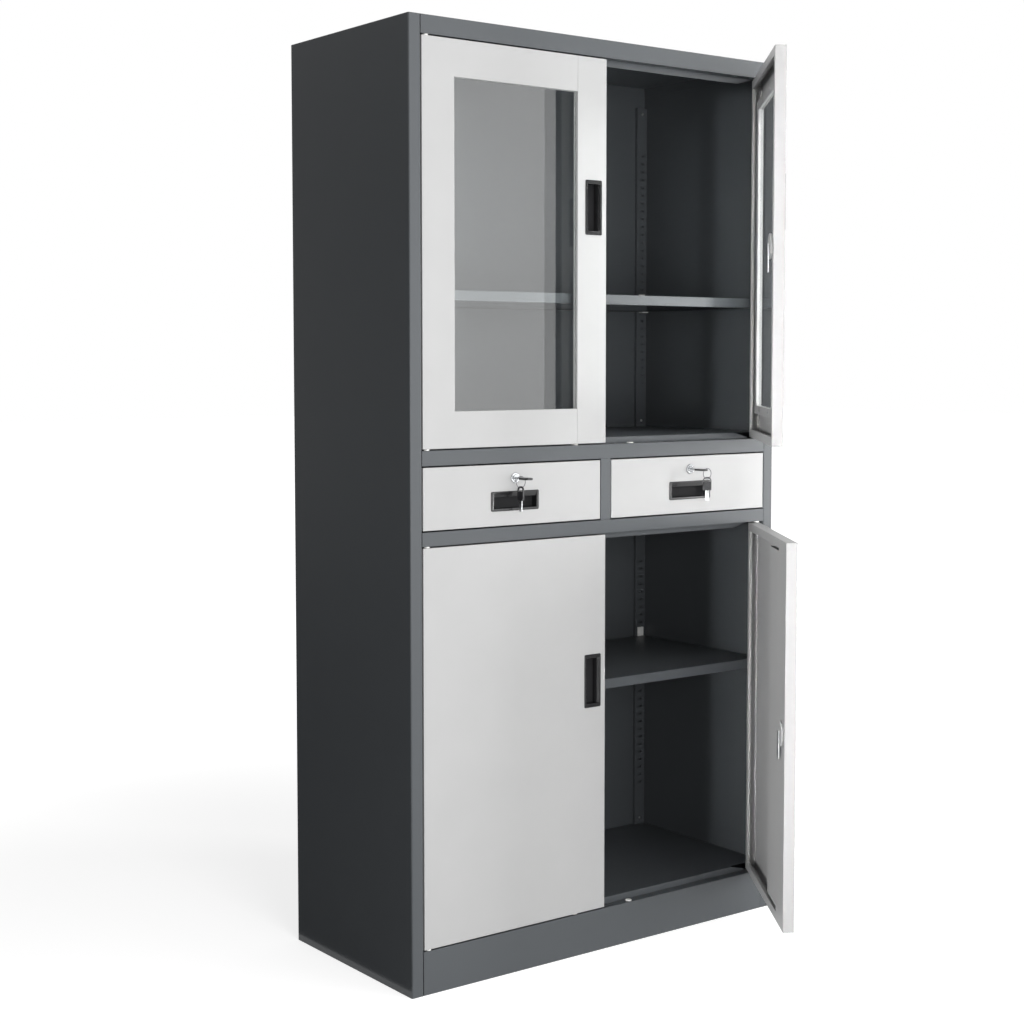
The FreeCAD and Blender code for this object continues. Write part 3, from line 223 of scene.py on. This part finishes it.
class CabinetStage(bpy.types.PropertyGroup):
    """Camera and light"""

    lens: FloatProperty(name="Lens", description="Focal length of the camera", default=61.55, unit="CAMERA")
    shift_up: FloatProperty(name="Shift", description="Vertical shift of the camera", default=-0.041)
    shift_across: FloatProperty(
        name="Shift across", description="Level shift of the camera", default=-0.0119
    )
    camera_place: FloatVectorProperty(
        name="Camera", description="Place of the camera", default=(-2.2753, -2.9373, 1.2127),
        subtype="XYZ", unit="LENGTH"
    )
    camera_turn: angle_property("Turn", "Turn of the camera to the right of +Y", 37.214)
    camera_tilt: angle_property("Tilt", "Tilt of the camera below the horizon", 3.603)
    sky_light: light_property("Sky", "Level light from all round", 0.34)
    key_light: light_property("Key", "Radiance of the soft box in front", 1.7)
    right_light: light_property("Right", "Radiance of the soft box to the right", 15)
    fill_light: light_property("Fill", "Radiance of the soft box to the left", 7.2)
    grid_light: light_property("Grid", "Radiance of the narrow lamp far left", 1.5)
    grid_spread: angle_property("Grid spread", "Opening of the narrow lamp's beam", 16)
    top_light: light_property("Top", "Radiance of the soft box above", 2.4)
    floor_glow: factor_property("Floor", "White of the floor beside the cabinet", 0.7)
    floor_near: length_property("Floor near", "Out to here the floor shows the whole shadow", 1.1)
    floor_far: length_property("Floor far", "From here on the floor is plain white", 3.2)


# nodes of the materials

def bare_material(name):
    """An empty material, its node tree and the socket for its surface"""
    made = bpy.data.materials.new(name)
    made.use_nodes = True
    tree = made.node_tree
    tree.nodes.clear()
    output = tree.nodes.new("ShaderNodeOutputMaterial")
    return made, tree, output.inputs["Surface"]


def principled_material(name):
    """A material with a Principled shader, its node tree and that shader"""
    made, tree, surface = bare_material(name)
    shader = tree.nodes.new("ShaderNodeBsdfPrincipled")
    tree.links.new(shader.outputs["BSDF"], surface)
    return made, tree, shader


def place_in_object(tree):
    """Coordinates that stay with the piece when it moves"""
    return tree.nodes.new("ShaderNodeTexCoord").outputs["Object"]


def noise(tree, place, size, detail=3):
    """Soft noise whose ripples are about as wide as size"""
    node = tree.nodes.new("ShaderNodeTexNoise")
    node.inputs["Scale"].default_value = 1 / size
    node.inputs["Detail"].default_value = detail
    tree.links.new(place, node.inputs["Vector"])
    return node.outputs["Fac"]


def spread(tree, value, low, high):
    """The middle of a noise, stretched from low to high"""
    node = tree.nodes.new("ShaderNodeMapRange")
    node.inputs["From Min"].default_value = NOISE_LOW
    node.inputs["From Max"].default_value = NOISE_HIGH
    node.inputs["To Min"].default_value = low
    node.inputs["To Max"].default_value = high
    tree.links.new(value, node.inputs["Value"])
    return node.outputs["Result"]


def shaded(colour, share):
    """The colour made darker or lighter"""
    return tuple(min(1.0, part * share) for part in colour)


def tinted(tree, value, colour, shares):
    """A colour that strays between two shares of itself, by a noise"""
    dark, light = shares
    node = tree.nodes.new("ShaderNodeMix")
    node.data_type = "RGBA"
    node.inputs["A"].default_value = (*shaded(colour, dark), 1)
    node.inputs["B"].default_value = (*shaded(colour, light), 1)
    tree.links.new(spread(tree, value, 0, 1), node.inputs["Factor"])
    return node.outputs["Result"]


def bumped(tree, height, depth, onto=None):
    """A surface ripple of the given depth"""
    node = tree.nodes.new("ShaderNodeBump")
    node.inputs["Distance"].default_value = depth
    tree.links.new(height, node.inputs["Height"])
    if onto is not None:
        tree.links.new(onto, node.inputs["Normal"])
    return node.outputs["Normal"]


def rounded(tree, radius):
    """Normals that turn softly over the edges"""
    node = tree.nodes.new("ShaderNodeBevel")
    node.samples = ROUNDING_SAMPLES
    node.inputs["Radius"].default_value = radius
    return node.outputs["Normal"]


def mixed(tree, choice, usual, other):
    """One shader where a value is 0 and another where it is 1"""
    node = tree.nodes.new("ShaderNodeMixShader")
    tree.links.new(choice, node.inputs["Fac"])
    tree.links.new(usual, node.inputs[1])
    tree.links.new(other, node.inputs[2])
    return node.outputs["Shader"]


# families of finishes

def powder_coat(name, colour, specular, finish):
    """Satin powder coat: a faint mottle, uneven gloss and the ripple of sprayed paint"""
    made, tree, shader = principled_material(name)
    place = place_in_object(tree)
    mottle = noise(tree, place, finish.mottle_size, detail=4)
    tree.links.new(tinted(tree, mottle, colour, PAINT_TINT_SHARES), shader.inputs["Base Color"])
    peel = noise(tree, place, finish.peel_size, detail=2)
    low, high = (finish.paint_roughness + stray for stray in PAINT_GLOSS_STRAY)
    tree.links.new(spread(tree, peel, low, high), shader.inputs["Roughness"])
    ripple = bumped(tree, peel, finish.peel_depth, rounded(tree, finish.bend_glint))
    tree.links.new(ripple, shader.inputs["Normal"])
    shader.inputs["Specular IOR Level"].default_value = specular
    return made


def moulded_plastic(name, colour, specular, roughness, grain_size):
    """Moulded plastic with a fine spark grain"""
    made, tree, shader = principled_material(name)
    place = place_in_object(tree)
    patches = noise(tree, place, grain_size * GRAINS_IN_PATCH)
    tree.links.new(tinted(tree, patches, colour, PLASTIC_TINT_SHARES), shader.inputs["Base Color"])
    grain = noise(tree, place, grain_size)
    low, high = (roughness * share for share in PLASTIC_GLOSS_SHARES)
    tree.links.new(spread(tree, grain, low, high), shader.inputs["Roughness"])
    tree.links.new(bumped(tree, grain, grain_size * GRAIN_DEPTH_SHARE), shader.inputs["Normal"])
    shader.inputs["Specular IOR Level"].default_value = specular
    return made


def plated_metal(name, colour, roughness, streak_size):
    """Plated metal with fine streaks from front to back"""
    made, tree, shader = principled_material(name)
    stretch = tree.nodes.new("ShaderNodeMapping")
    stretch.inputs["Scale"].default_value = STREAK_STRETCH
    tree.links.new(place_in_object(tree), stretch.inputs["Vector"])
    streaks = noise(tree, stretch.outputs["Vector"], streak_size)
    tree.links.new(tinted(tree, streaks, colour, METAL_TINT_SHARES), shader.inputs["Base Color"])
    low, high = (roughness * share for share in METAL_GLOSS_SHARES)
    tree.links.new(spread(tree, streaks, low, high), shader.inputs["Roughness"])
    tree.links.new(bumped(tree, streaks, streak_size * STREAK_DEPTH_SHARE), shader.inputs["Normal"])
    shader.inputs["Metallic"].default_value = 1.0
    return made


# finishes of the material slots

def graphite_paint(name, finish):
    """Dark paint of the carcass, shelves and uprights"""
    return powder_coat(name, finish.graphite, finish.graphite_specular, finish)


def light_grey_paint(name, finish):
    """Pale paint of the doors and drawers"""
    return powder_coat(name, finish.door_grey, finish.door_specular, finish)


def graphite_plastic(name, finish):
    """Glossy lips of the pulls"""
    return moulded_plastic(
        name, finish.pull_black, finish.plastic_specular, finish.pull_roughness, finish.pull_grain
    )


def recess_plastic(name, finish):
    """Dull recesses of the pulls"""
    return moulded_plastic(
        name, finish.pull_black, finish.recess_specular, finish.recess_roughness, finish.pull_grain
    )


def black_plastic(name, finish):
    """Bows of the keys"""
    return moulded_plastic(
        name, finish.bow_black, finish.plastic_specular, finish.bow_roughness, finish.bow_grain
    )


def white_plastic(name, finish):
    """Clips, bushes and buttons"""
    return moulded_plastic(
        name, finish.clip_white, finish.plastic_specular, finish.clip_roughness, finish.clip_grain
    )


def chrome(name, finish):
    """Faces of the locks"""
    return plated_metal(name, finish.chrome, finish.chrome_roughness, finish.chrome_streak)


def plated_steel(name, finish):
    """Runners, cams, pins, screws and the blades of the keys"""
    return plated_metal(name, finish.zinc, finish.zinc_roughness, finish.zinc_streak)


def ring_wire(name, finish):
    """Dull wire of the key rings"""
    return plated_metal(name, finish.wire, finish.wire_roughness, finish.zinc_streak)


def glass(name, finish):
    """Float glass with the faintest waviness, which lets light through to what it shades"""
    made, tree, surface = bare_material(name)
    shader = tree.nodes.new("ShaderNodeBsdfPrincipled")
    shader.inputs["Base Color"].default_value = (*finish.glass_tint, 1)
    shader.inputs["Roughness"].default_value = 0.0
    shader.inputs["IOR"].default_value = GLASS_INDEX
    shader.inputs["Transmission Weight"].default_value = 1.0
    wave = noise(tree, place_in_object(tree), GLASS_WAVE_SIZE, detail=1)
    tree.links.new(bumped(tree, wave, GLASS_WAVE_DEPTH), shader.inputs["Normal"])
    through = tree.nodes.new("ShaderNodeBsdfTransparent")
    through.inputs["Color"].default_value = (*shaded(finish.glass_tint, GLASS_SHADOW_SHARE), 1)
    shadow = tree.nodes.new("ShaderNodeLightPath").outputs["Is Shadow Ray"]
    tree.links.new(mixed(tree, shadow, shader.outputs["BSDF"], through.outputs["BSDF"]), surface)
    return made


MAKERS = {
    "graphite_paint": graphite_paint,
    "light_grey_paint": light_grey_paint,
    "graphite_plastic": graphite_plastic,
    "recess_plastic": recess_plastic,
    "black_plastic": black_plastic,
    "white_plastic": white_plastic,
    "chrome": chrome,
    "plated_steel": plated_steel,
    "ring_wire": ring_wire,
    "glass": glass,
}


def slot_material(slot):
    """The finish of a slot, made once; a plain material that already has its name is renamed"""
    made = bpy.data.materials.get(slot)
    if made is not None and made.get("cabinet_finish"):
        return made
    if made is not None:
        made.name = slot + "_plain"
    made = MAKERS[slot](slot, bpy.context.scene.cabinet_finish)
    made["cabinet_finish"] = True
    return made


# dressing of the solids

def dress(node, width=0, segments=SHEET_SEGMENTS, slot=None):
    """Gives a solid the finish of its own slot, or of another, and rounds its edges"""
    thing = NODES[node]
    thing.data.materials.clear()
    thing.data.materials.append(slot_material(slot or SLOT_OF[node]))
    weld = thing.modifiers.new("weld", "WELD")
    weld.merge_threshold = WELD_GAP
    if width:
        flat = thing.modifiers.new("flat", "DECIMATE")
        flat.decimate_type = "DISSOLVE"
        flat.angle_limit = FLAT_ANGLE
        bevel = thing.modifiers.new("bend", "BEVEL")
        bevel.width = width
        bevel.segments = segments
        bevel.limit_method = "ANGLE"
        bevel.angle_limit = EDGE_ANGLE
        bevel.harden_normals = True


def finish_faces(node, slot, chosen):
    """Gives the faces whose middle is chosen the finish of another slot"""
    thing = NODES[node]
    thing.data.materials.append(slot_material(slot))
    for face in thing.data.polygons:
        face.material_index = 1 if chosen(face.center) else 0


def nodes_in(*slots):
    """The solids of some material slots"""
    return [node for node in NODES if SLOT_OF[node] in slots]


def opening(tier):
    """Carries a place on a closed left-hand door over to the open right-hand door"""
    joint = JOINTS[f"{tier}_right_door_hinge"]
    pivot = Matrix.Translation(joint["pos_m"])
    angle = -math.radians(joint["range_deg"][0])
    mirror = Matrix.Scale(-1, 4, (1, 0, 0))
    return pivot @ Matrix.Rotation(angle, 4, "Z") @ pivot.inverted() @ mirror


def closing(tier):
    """Carries a place on the open right-hand door back to the closed left-hand one"""
    return opening(tier).inverted()


def behind(level, carry=Matrix.Identity(4)):
    """A test of whether a place, once carried, lies further back than a level"""
    return lambda place: (carry @ place).y > level


def below(level):
    """A test of whether a place lies lower than a level"""
    return lambda place: place.z < level


class CABINET_OT_paint_sheets(bpy.types.Operator):
    """Paints the folded sheets of the carcass, doors and drawers"""

    bl_idname = "cabinet.paint_sheets"
    bl_label = "Paint Sheets"

    def execute(self, context):
        finish = context.scene.cabinet_finish
        for node in nodes_in("graphite_paint", "light_grey_paint"):
            dress(node, finish.sheet_bend)
        return {"FINISHED"}


class CABINET_OT_glaze_doors(bpy.types.Operator):
    """Puts clear glass in the upper doors"""

    bl_idname = "cabinet.glaze_doors"
    bl_label = "Glaze Doors"

    def execute(self, context):
        for node in nodes_in("glass"):
            dress(node)
        return {"FINISHED"}


class CABINET_OT_finish_mouldings(bpy.types.Operator):
    """Finishes the moulded pulls, clips, bushes and buttons"""

    bl_idname = "cabinet.finish_mouldings"
    bl_label = "Finish Mouldings"

    def execute(self, context):
        finish = context.scene.cabinet_finish
        for node in nodes_in("graphite_plastic", "white_plastic"):
            dress(node, finish.moulded_edge, MOULDED_SEGMENTS)
        lip_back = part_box("left_drawer_front")[0][1] + finish.pull_lip
        for node in nodes_in("graphite_plastic"):
            recess = behind(lip_back)
            if "right_door" in node:
                recess = behind(lip_back, closing(node.split("_")[0]))
            finish_faces(node, "recess_plastic", recess)
        return {"FINISHED"}


class CABINET_OT_finish_keys(bpy.types.Operator):
    """Finishes the keys: moulded bows on plated blades"""

    bl_idname = "cabinet.finish_keys"
    bl_label = "Finish Keys"

    def execute(self, context):
        finish = context.scene.cabinet_finish
        bow = context.scene.cabinet_fittings.bow_length
        for side in ("left", "right"):
            key = f"{side}_drawer_key"
            spare = f"{side}_drawer_spare_key"
            for node in (key, spare):
                dress(node, finish.moulded_edge, MOULDED_SEGMENTS)
            finish_faces(key, "plated_steel", behind(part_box(key)[0][1] + bow))
            finish_faces(spare, "plated_steel", below(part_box(spare)[1][2] - bow))
        return {"FINISHED"}


class CABINET_OT_finish_metal(bpy.types.Operator):
    """Finishes the plated locks, runners, pins and screws, and paints the lock covers inside the doors"""

    bl_idname = "cabinet.finish_metal"
    bl_label = "Finish Metal"

    def execute(self, context):
        finish = context.scene.cabinet_finish
        for node in nodes_in("chrome", "plated_steel"):
            if node.endswith("key_ring"):
                dress(node, slot="ring_wire")
            elif node.endswith("lock_case"):
                dress(node, finish.lock_rim, PLATED_SEGMENTS)
            else:
                dress(node, finish.plated_edge, PLATED_SEGMENTS)
        for tier in ("upper", "lower"):
            pull_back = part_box(f"{tier}_left_door_pull")[1][1]
            cover = behind(pull_back, closing(tier))
            finish_faces(f"{tier}_right_door_lock_case", "light_grey_paint", cover)
        return {"FINISHED"}


# small fittings

def add_object(name, data):
    """A new object in the scene"""
    thing = bpy.data.objects.new(name, data)
    bpy.context.scene.collection.objects.link(thing)
    return thing


def ring_of(radii, level):
    """A ring of points round the Z axis, with one radius for each"""
    turn = 2 * math.pi / len(radii)
    return [
        (radius * math.cos(i * turn), radius * math.sin(i * turn), level) for i, radius in enumerate(radii)
    ]


def head_rings(radius, height, recess):
    """Rings of a round head, from its seat up over the dome and, for a screw, down into its cross recess"""
    rings = [ring_of([radius * wide] * HEAD_POINTS, height * up) for wide, up in HEAD_SHARES]
    if recess:
        wide, up = CROSS_FLOOR_SHARES
        cross = [radius * share for share in CROSS_SHARES * (HEAD_POINTS // len(CROSS_SHARES))]
        rings.append(ring_of(cross, height))
        rings.append(ring_of([reach * wide for reach in cross], height * up))
    return rings


def add_head(mesh, rings, place, axis):
    """Adds one closed head to a mesh, seated at a place and facing along an axis"""
    stand = Matrix.Translation(place) @ axis.to_track_quat("Z", "Y").to_matrix().to_4x4()
    rows = [[mesh.verts.new(stand @ Vector(point)) for point in ring] for ring in rings]
    for low, high in zip(rows, rows[1:]):
        for i in range(len(low)):
            after = (i + 1) % len(low)
            mesh.faces.new((low[i], low[after], high[after], high[i]))
    mesh.faces.new(rows[0][::-1])
    mesh.faces.new(rows[-1])


def fit_heads(name, body, rings, seats):
    """One piece with a head on every seat, riding on a body"""
    mesh = bmesh.new()
    for place, axis in seats:
        add_head(mesh, rings, place, axis)
    for face in mesh.faces:
        face.smooth = len(face.verts) == 4
    data = bpy.data.meshes.new(name)
    mesh.to_mesh(data)
    mesh.free()
    data.materials.append(slot_material("plated_steel"))
    piece = add_object(name, data)
    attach(piece, body)


def along(low, high, shares):
    """Places between two ends, by their shares of the way"""
    return [low + (high - low) * share for share in shares]


class CABINET_OT_fit_bead_screws(bpy.types.Operator):
    """Screws the glazing beads to the upper doors"""

    bl_idname = "cabinet.fit_bead_screws"
    bl_label = "Fit Bead Screws"

    def execute(self, context):
        fittings = context.scene.cabinet_fittings
        rings = head_rings(fittings.screw_radius, fittings.screw_height, recess=True)
        low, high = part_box("upper_left_door_glazing_beads")
        land = high[1]
        places = []
        for level in along(low[2], high[2], fittings.bead_level_shares):
            places.append(Vector((low[0] + fittings.hinge_bead, land, level)))
            places.append(Vector((high[0] - fittings.other_bead, land, level)))
        for across in along(low[0], high[0], BEAD_ACROSS_SHARES):
            places.append(Vector((across, land, low[2] + fittings.other_bead)))
            places.append(Vector((across, land, high[2] - fittings.other_bead)))
        seats = [(place, INWARD) for place in places]
        fit_heads("upper_left_bead_screws", "upper_left_door", rings, seats)
        carry = opening("upper")
        facing = carry.to_3x3() @ INWARD
        seats = [(carry @ place, facing) for place in places]
        fit_heads("upper_right_bead_screws", "upper_right_door", rings, seats)
        return {"FINISHED"}


class CABINET_OT_fit_rear_rivets(bpy.types.Operator):
    """Rivets the back panel to the rear flanges of the side walls"""

    bl_idname = "cabinet.fit_rear_rivets"
    bl_label = "Fit Rear Rivets"

    def execute(self, context):
        fittings = context.scene.cabinet_fittings
        rings = head_rings(fittings.rivet_radius, fittings.rivet_height, recess=False)
        shares = [i / (fittings.rivet_count - 1) for i in range(fittings.rivet_count)]
        seats = []
        for node, sign in (("left_side_panel", 1), ("right_side_panel", -1)):
            low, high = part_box(node)
            wall = low[0] if sign > 0 else high[0]
            for level in along(low[2] + fittings.rivet_end, high[2] - fittings.rivet_end, shares):
                seats.append((Vector((wall + sign * fittings.rivet_inset, high[1], level)), INWARD))
        fit_heads("rear_rivets", "cabinet", rings, seats)
        return {"FINISHED"}


# studio

def combined(tree, operation, first, second=None):
    """One value worked on, or two put together, the second of which may be a plain number"""
    node = tree.nodes.new("ShaderNodeMath")
    node.operation = operation
    tree.links.new(first, node.inputs[0])
    if isinstance(second, float):
        node.inputs[1].default_value = second
    elif second is not None:
        tree.links.new(second, node.inputs[1])
    return node.outputs["Value"]


def seen_directly(tree):
    """1 for rays that show the background: from the camera, from gloss and through glass"""
    path = tree.nodes.new("ShaderNodeLightPath")
    either = combined(tree, "MAXIMUM", path.outputs["Is Camera Ray"], path.outputs["Is Glossy Ray"])
    return combined(tree, "MAXIMUM", either, path.outputs["Is Transmission Ray"])


def matt(tree, colour):
    """A matt surface"""
    node = tree.nodes.new("ShaderNodeBsdfDiffuse")
    node.inputs["Color"].default_value = colour
    return node.outputs["BSDF"]


def white_light(tree, strength):
    """White light from all round"""
    node = tree.nodes.new("ShaderNodeBackground")
    node.inputs["Color"].default_value = WHITE
    node.inputs["Strength"].default_value = strength
    return node.outputs["Background"]


def studio_world(sky):
    """Level light from all round, with a white background"""
    world = bpy.data.worlds.new("studio")
    world.use_nodes = True
    tree = world.node_tree
    tree.nodes.clear()
    output = tree.nodes.new("ShaderNodeOutputWorld")
    shown = mixed(tree, seen_directly(tree), white_light(tree, sky), white_light(tree, 1))
    tree.links.new(shown, output.inputs["Surface"])
    bpy.context.scene.world = world


def soft_box(name, place, aim, width, height, radiance, beam=math.pi):
    """A rectangular lamp that faces a point, with the radiance of its face and the opening of its beam"""
    lamp = bpy.data.lights.new(name, "AREA")
    lamp.shape = "RECTANGLE"
    lamp.size = width
    lamp.size_y = height
    lamp.energy = radiance * math.pi * width * height
    lamp.spread = beam
    thing = add_object(name, lamp)
    thing.location = place
    thing.rotation_euler = (Vector(aim) - Vector(place)).to_track_quat("-Z", "Y").to_euler()


def stage_card(name, corner, first_edge, second_edge, material):
    """A flat four-cornered card that belongs to the stage"""
    start, first, second = Vector(corner), Vector(first_edge), Vector(second_edge)
    corners = [start, start + first, start + first + second, start + second]
    mesh = bpy.data.meshes.new(name)
    mesh.from_pydata(corners, [], [(0, 1, 2, 3)])
    mesh.materials.append(material)
    card = add_object(name, mesh)
    return card


def dark_cloth():
    """Dull black cloth"""
    made, tree, surface = bare_material("dark_cloth")
    tree.links.new(matt(tree, CLOTH_BLACK), surface)
    return made


def dark_flag(name, corner, first_edge, second_edge, cloth):
    """A dark card that is only seen in gloss and through glass, and casts no shadow"""
    flag = stage_card(name, corner, first_edge, second_edge, cloth)
    flag.visible_camera = False
    flag.visible_diffuse = False
    flag.visible_shadow = False


def uncovered(tree):
    """0 for the floor under the carcass, where no light falls, and 1 for the rest"""
    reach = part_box("floor_pan")[1]
    apart = tree.nodes.new("ShaderNodeSeparateXYZ")
    tree.links.new(place_in_object(tree), apart.inputs["Vector"])
    outside = []
    for axis, limit in (("X", reach[0]), ("Y", reach[1])):
        away = combined(tree, "ABSOLUTE", apart.outputs[axis])
        outside.append(combined(tree, "GREATER_THAN", away, limit))
    return combined(tree, "MAXIMUM", *outside)


def floor_level(tree, stage):
    """White of the floor: its glow beside the cabinet, turning to full white further out"""
    reach = tree.nodes.new("ShaderNodeVectorMath")
    reach.operation = "LENGTH"
    tree.links.new(place_in_object(tree), reach.inputs[0])
    fade = tree.nodes.new("ShaderNodeMapRange")
    fade.interpolation_type = "SMOOTHSTEP"
    fade.inputs["From Min"].default_value = stage.floor_near
    fade.inputs["From Max"].default_value = stage.floor_far
    fade.inputs["To Min"].default_value = stage.floor_glow
    fade.inputs["To Max"].default_value = 1.0
    tree.links.new(reach.outputs["Value"], fade.inputs["Value"])
    shown = combined(tree, "MULTIPLY", seen_directly(tree), uncovered(tree))
    return combined(tree, "MULTIPLY", fade.outputs["Result"], shown)


def floor_white(stage):
    """Pale floor paint that keeps the shadow near the cabinet and turns plain white further out"""
    made, tree, surface = bare_material("floor_white")
    glow = tree.nodes.new("ShaderNodeEmission")
    glow.inputs["Color"].default_value = WHITE
    tree.links.new(floor_level(tree, stage), glow.inputs["Strength"])
    both = tree.nodes.new("ShaderNodeAddShader")
    tree.links.new(matt(tree, FLOOR_PAINT), both.inputs[0])
    tree.links.new(glow.outputs["Emission"], both.inputs[1])
    tree.links.new(both.outputs["Shader"], surface)
    return made


def studio_floor(stage):
    """A wide pale floor"""
    width = 2 * FLOOR_REACH
    stage_card("floor", (-FLOOR_REACH, -FLOOR_REACH, 0), (width, 0, 0), (0, width, 0), floor_white(stage))


def studio_camera(stage):
    """The camera at the photograph's viewing angle"""
    camera = bpy.data.cameras.new("camera")
    camera.lens = stage.lens
    camera.shift_x = stage.shift_across
    camera.shift_y = stage.shift_up
    thing = add_object("camera", camera)
    thing.location = stage.camera_place
    thing.rotation_euler = (math.pi / 2 - stage.camera_tilt, 0, -stage.camera_turn)
    bpy.context.scene.camera = thing


class CABINET_OT_set_stage(bpy.types.Operator):
    """Sets up the floor, the soft lights, their flags and the camera"""

    bl_idname = "cabinet.set_stage"
    bl_label = "Set Stage"

    def execute(self, context):
        stage = context.scene.cabinet_stage
        studio_world(stage.sky_light)
        studio_floor(stage)
        soft_box("key_box", *KEY_BOX, stage.key_light)
        soft_box("right_box", *RIGHT_BOX, stage.right_light)
        soft_box("fill_box", *FILL_BOX, stage.fill_light)
        soft_box("grid_box", *GRID_BOX, stage.grid_light, stage.grid_spread)
        soft_box("top_box", *TOP_BOX, stage.top_light)
        cloth = dark_cloth()
        dark_flag("left_flag", *LEFT_FLAG, cloth)
        dark_flag("left_cloth", *LEFT_CLOTH, cloth)
        dark_flag("gap_flag", *GAP_FLAG, cloth)
        studio_camera(stage)
        context.scene.view_settings.view_transform = "Standard"
        return {"FINISHED"}


# add-on

OPERATORS = (
    CABINET_OT_paint_sheets,
    CABINET_OT_glaze_doors,
    CABINET_OT_finish_mouldings,
    CABINET_OT_finish_keys,
    CABINET_OT_finish_metal,
    CABINET_OT_fit_bead_screws,
    CABINET_OT_fit_rear_rivets,
    CABINET_OT_set_stage,
)


class CABINET_PT_sidebar(bpy.types.Panel):
    """The cabinet's steps, in the order in which they are made"""

    bl_label = "Office Cabinet"
    bl_idname = "CABINET_PT_sidebar"
    bl_space_type = "VIEW_3D"
    bl_region_type = "UI"
    bl_category = "Cabinet"

    def draw(self, context):
        for step in OPERATORS:
            self.layout.operator(step.bl_idname)


CLASSES = (CabinetFinish, CabinetFittings, CabinetStage, *OPERATORS, CABINET_PT_sidebar)


def register():
    """Makes the classes and the scene's properties known"""
    for made in CLASSES:
        bpy.utils.register_class(made)
    bpy.types.Scene.cabinet_finish = PointerProperty(type=CabinetFinish)
    bpy.types.Scene.cabinet_fittings = PointerProperty(type=CabinetFittings)
    bpy.types.Scene.cabinet_stage = PointerProperty(type=CabinetStage)


def unregister():
    """Takes the scene's properties and the classes away again"""
    del bpy.types.Scene.cabinet_stage
    del bpy.types.Scene.cabinet_fittings
    del bpy.types.Scene.cabinet_finish
    for made in reversed(CLASSES):
        bpy.utils.unregister_class(made)


def main():
    """Makes every piece in order"""
    register()
    for step in OPERATORS:
        group, name = step.bl_idname.split(".")
        getattr(getattr(bpy.ops, group), name)()


if __name__ == "__main__":
    main()
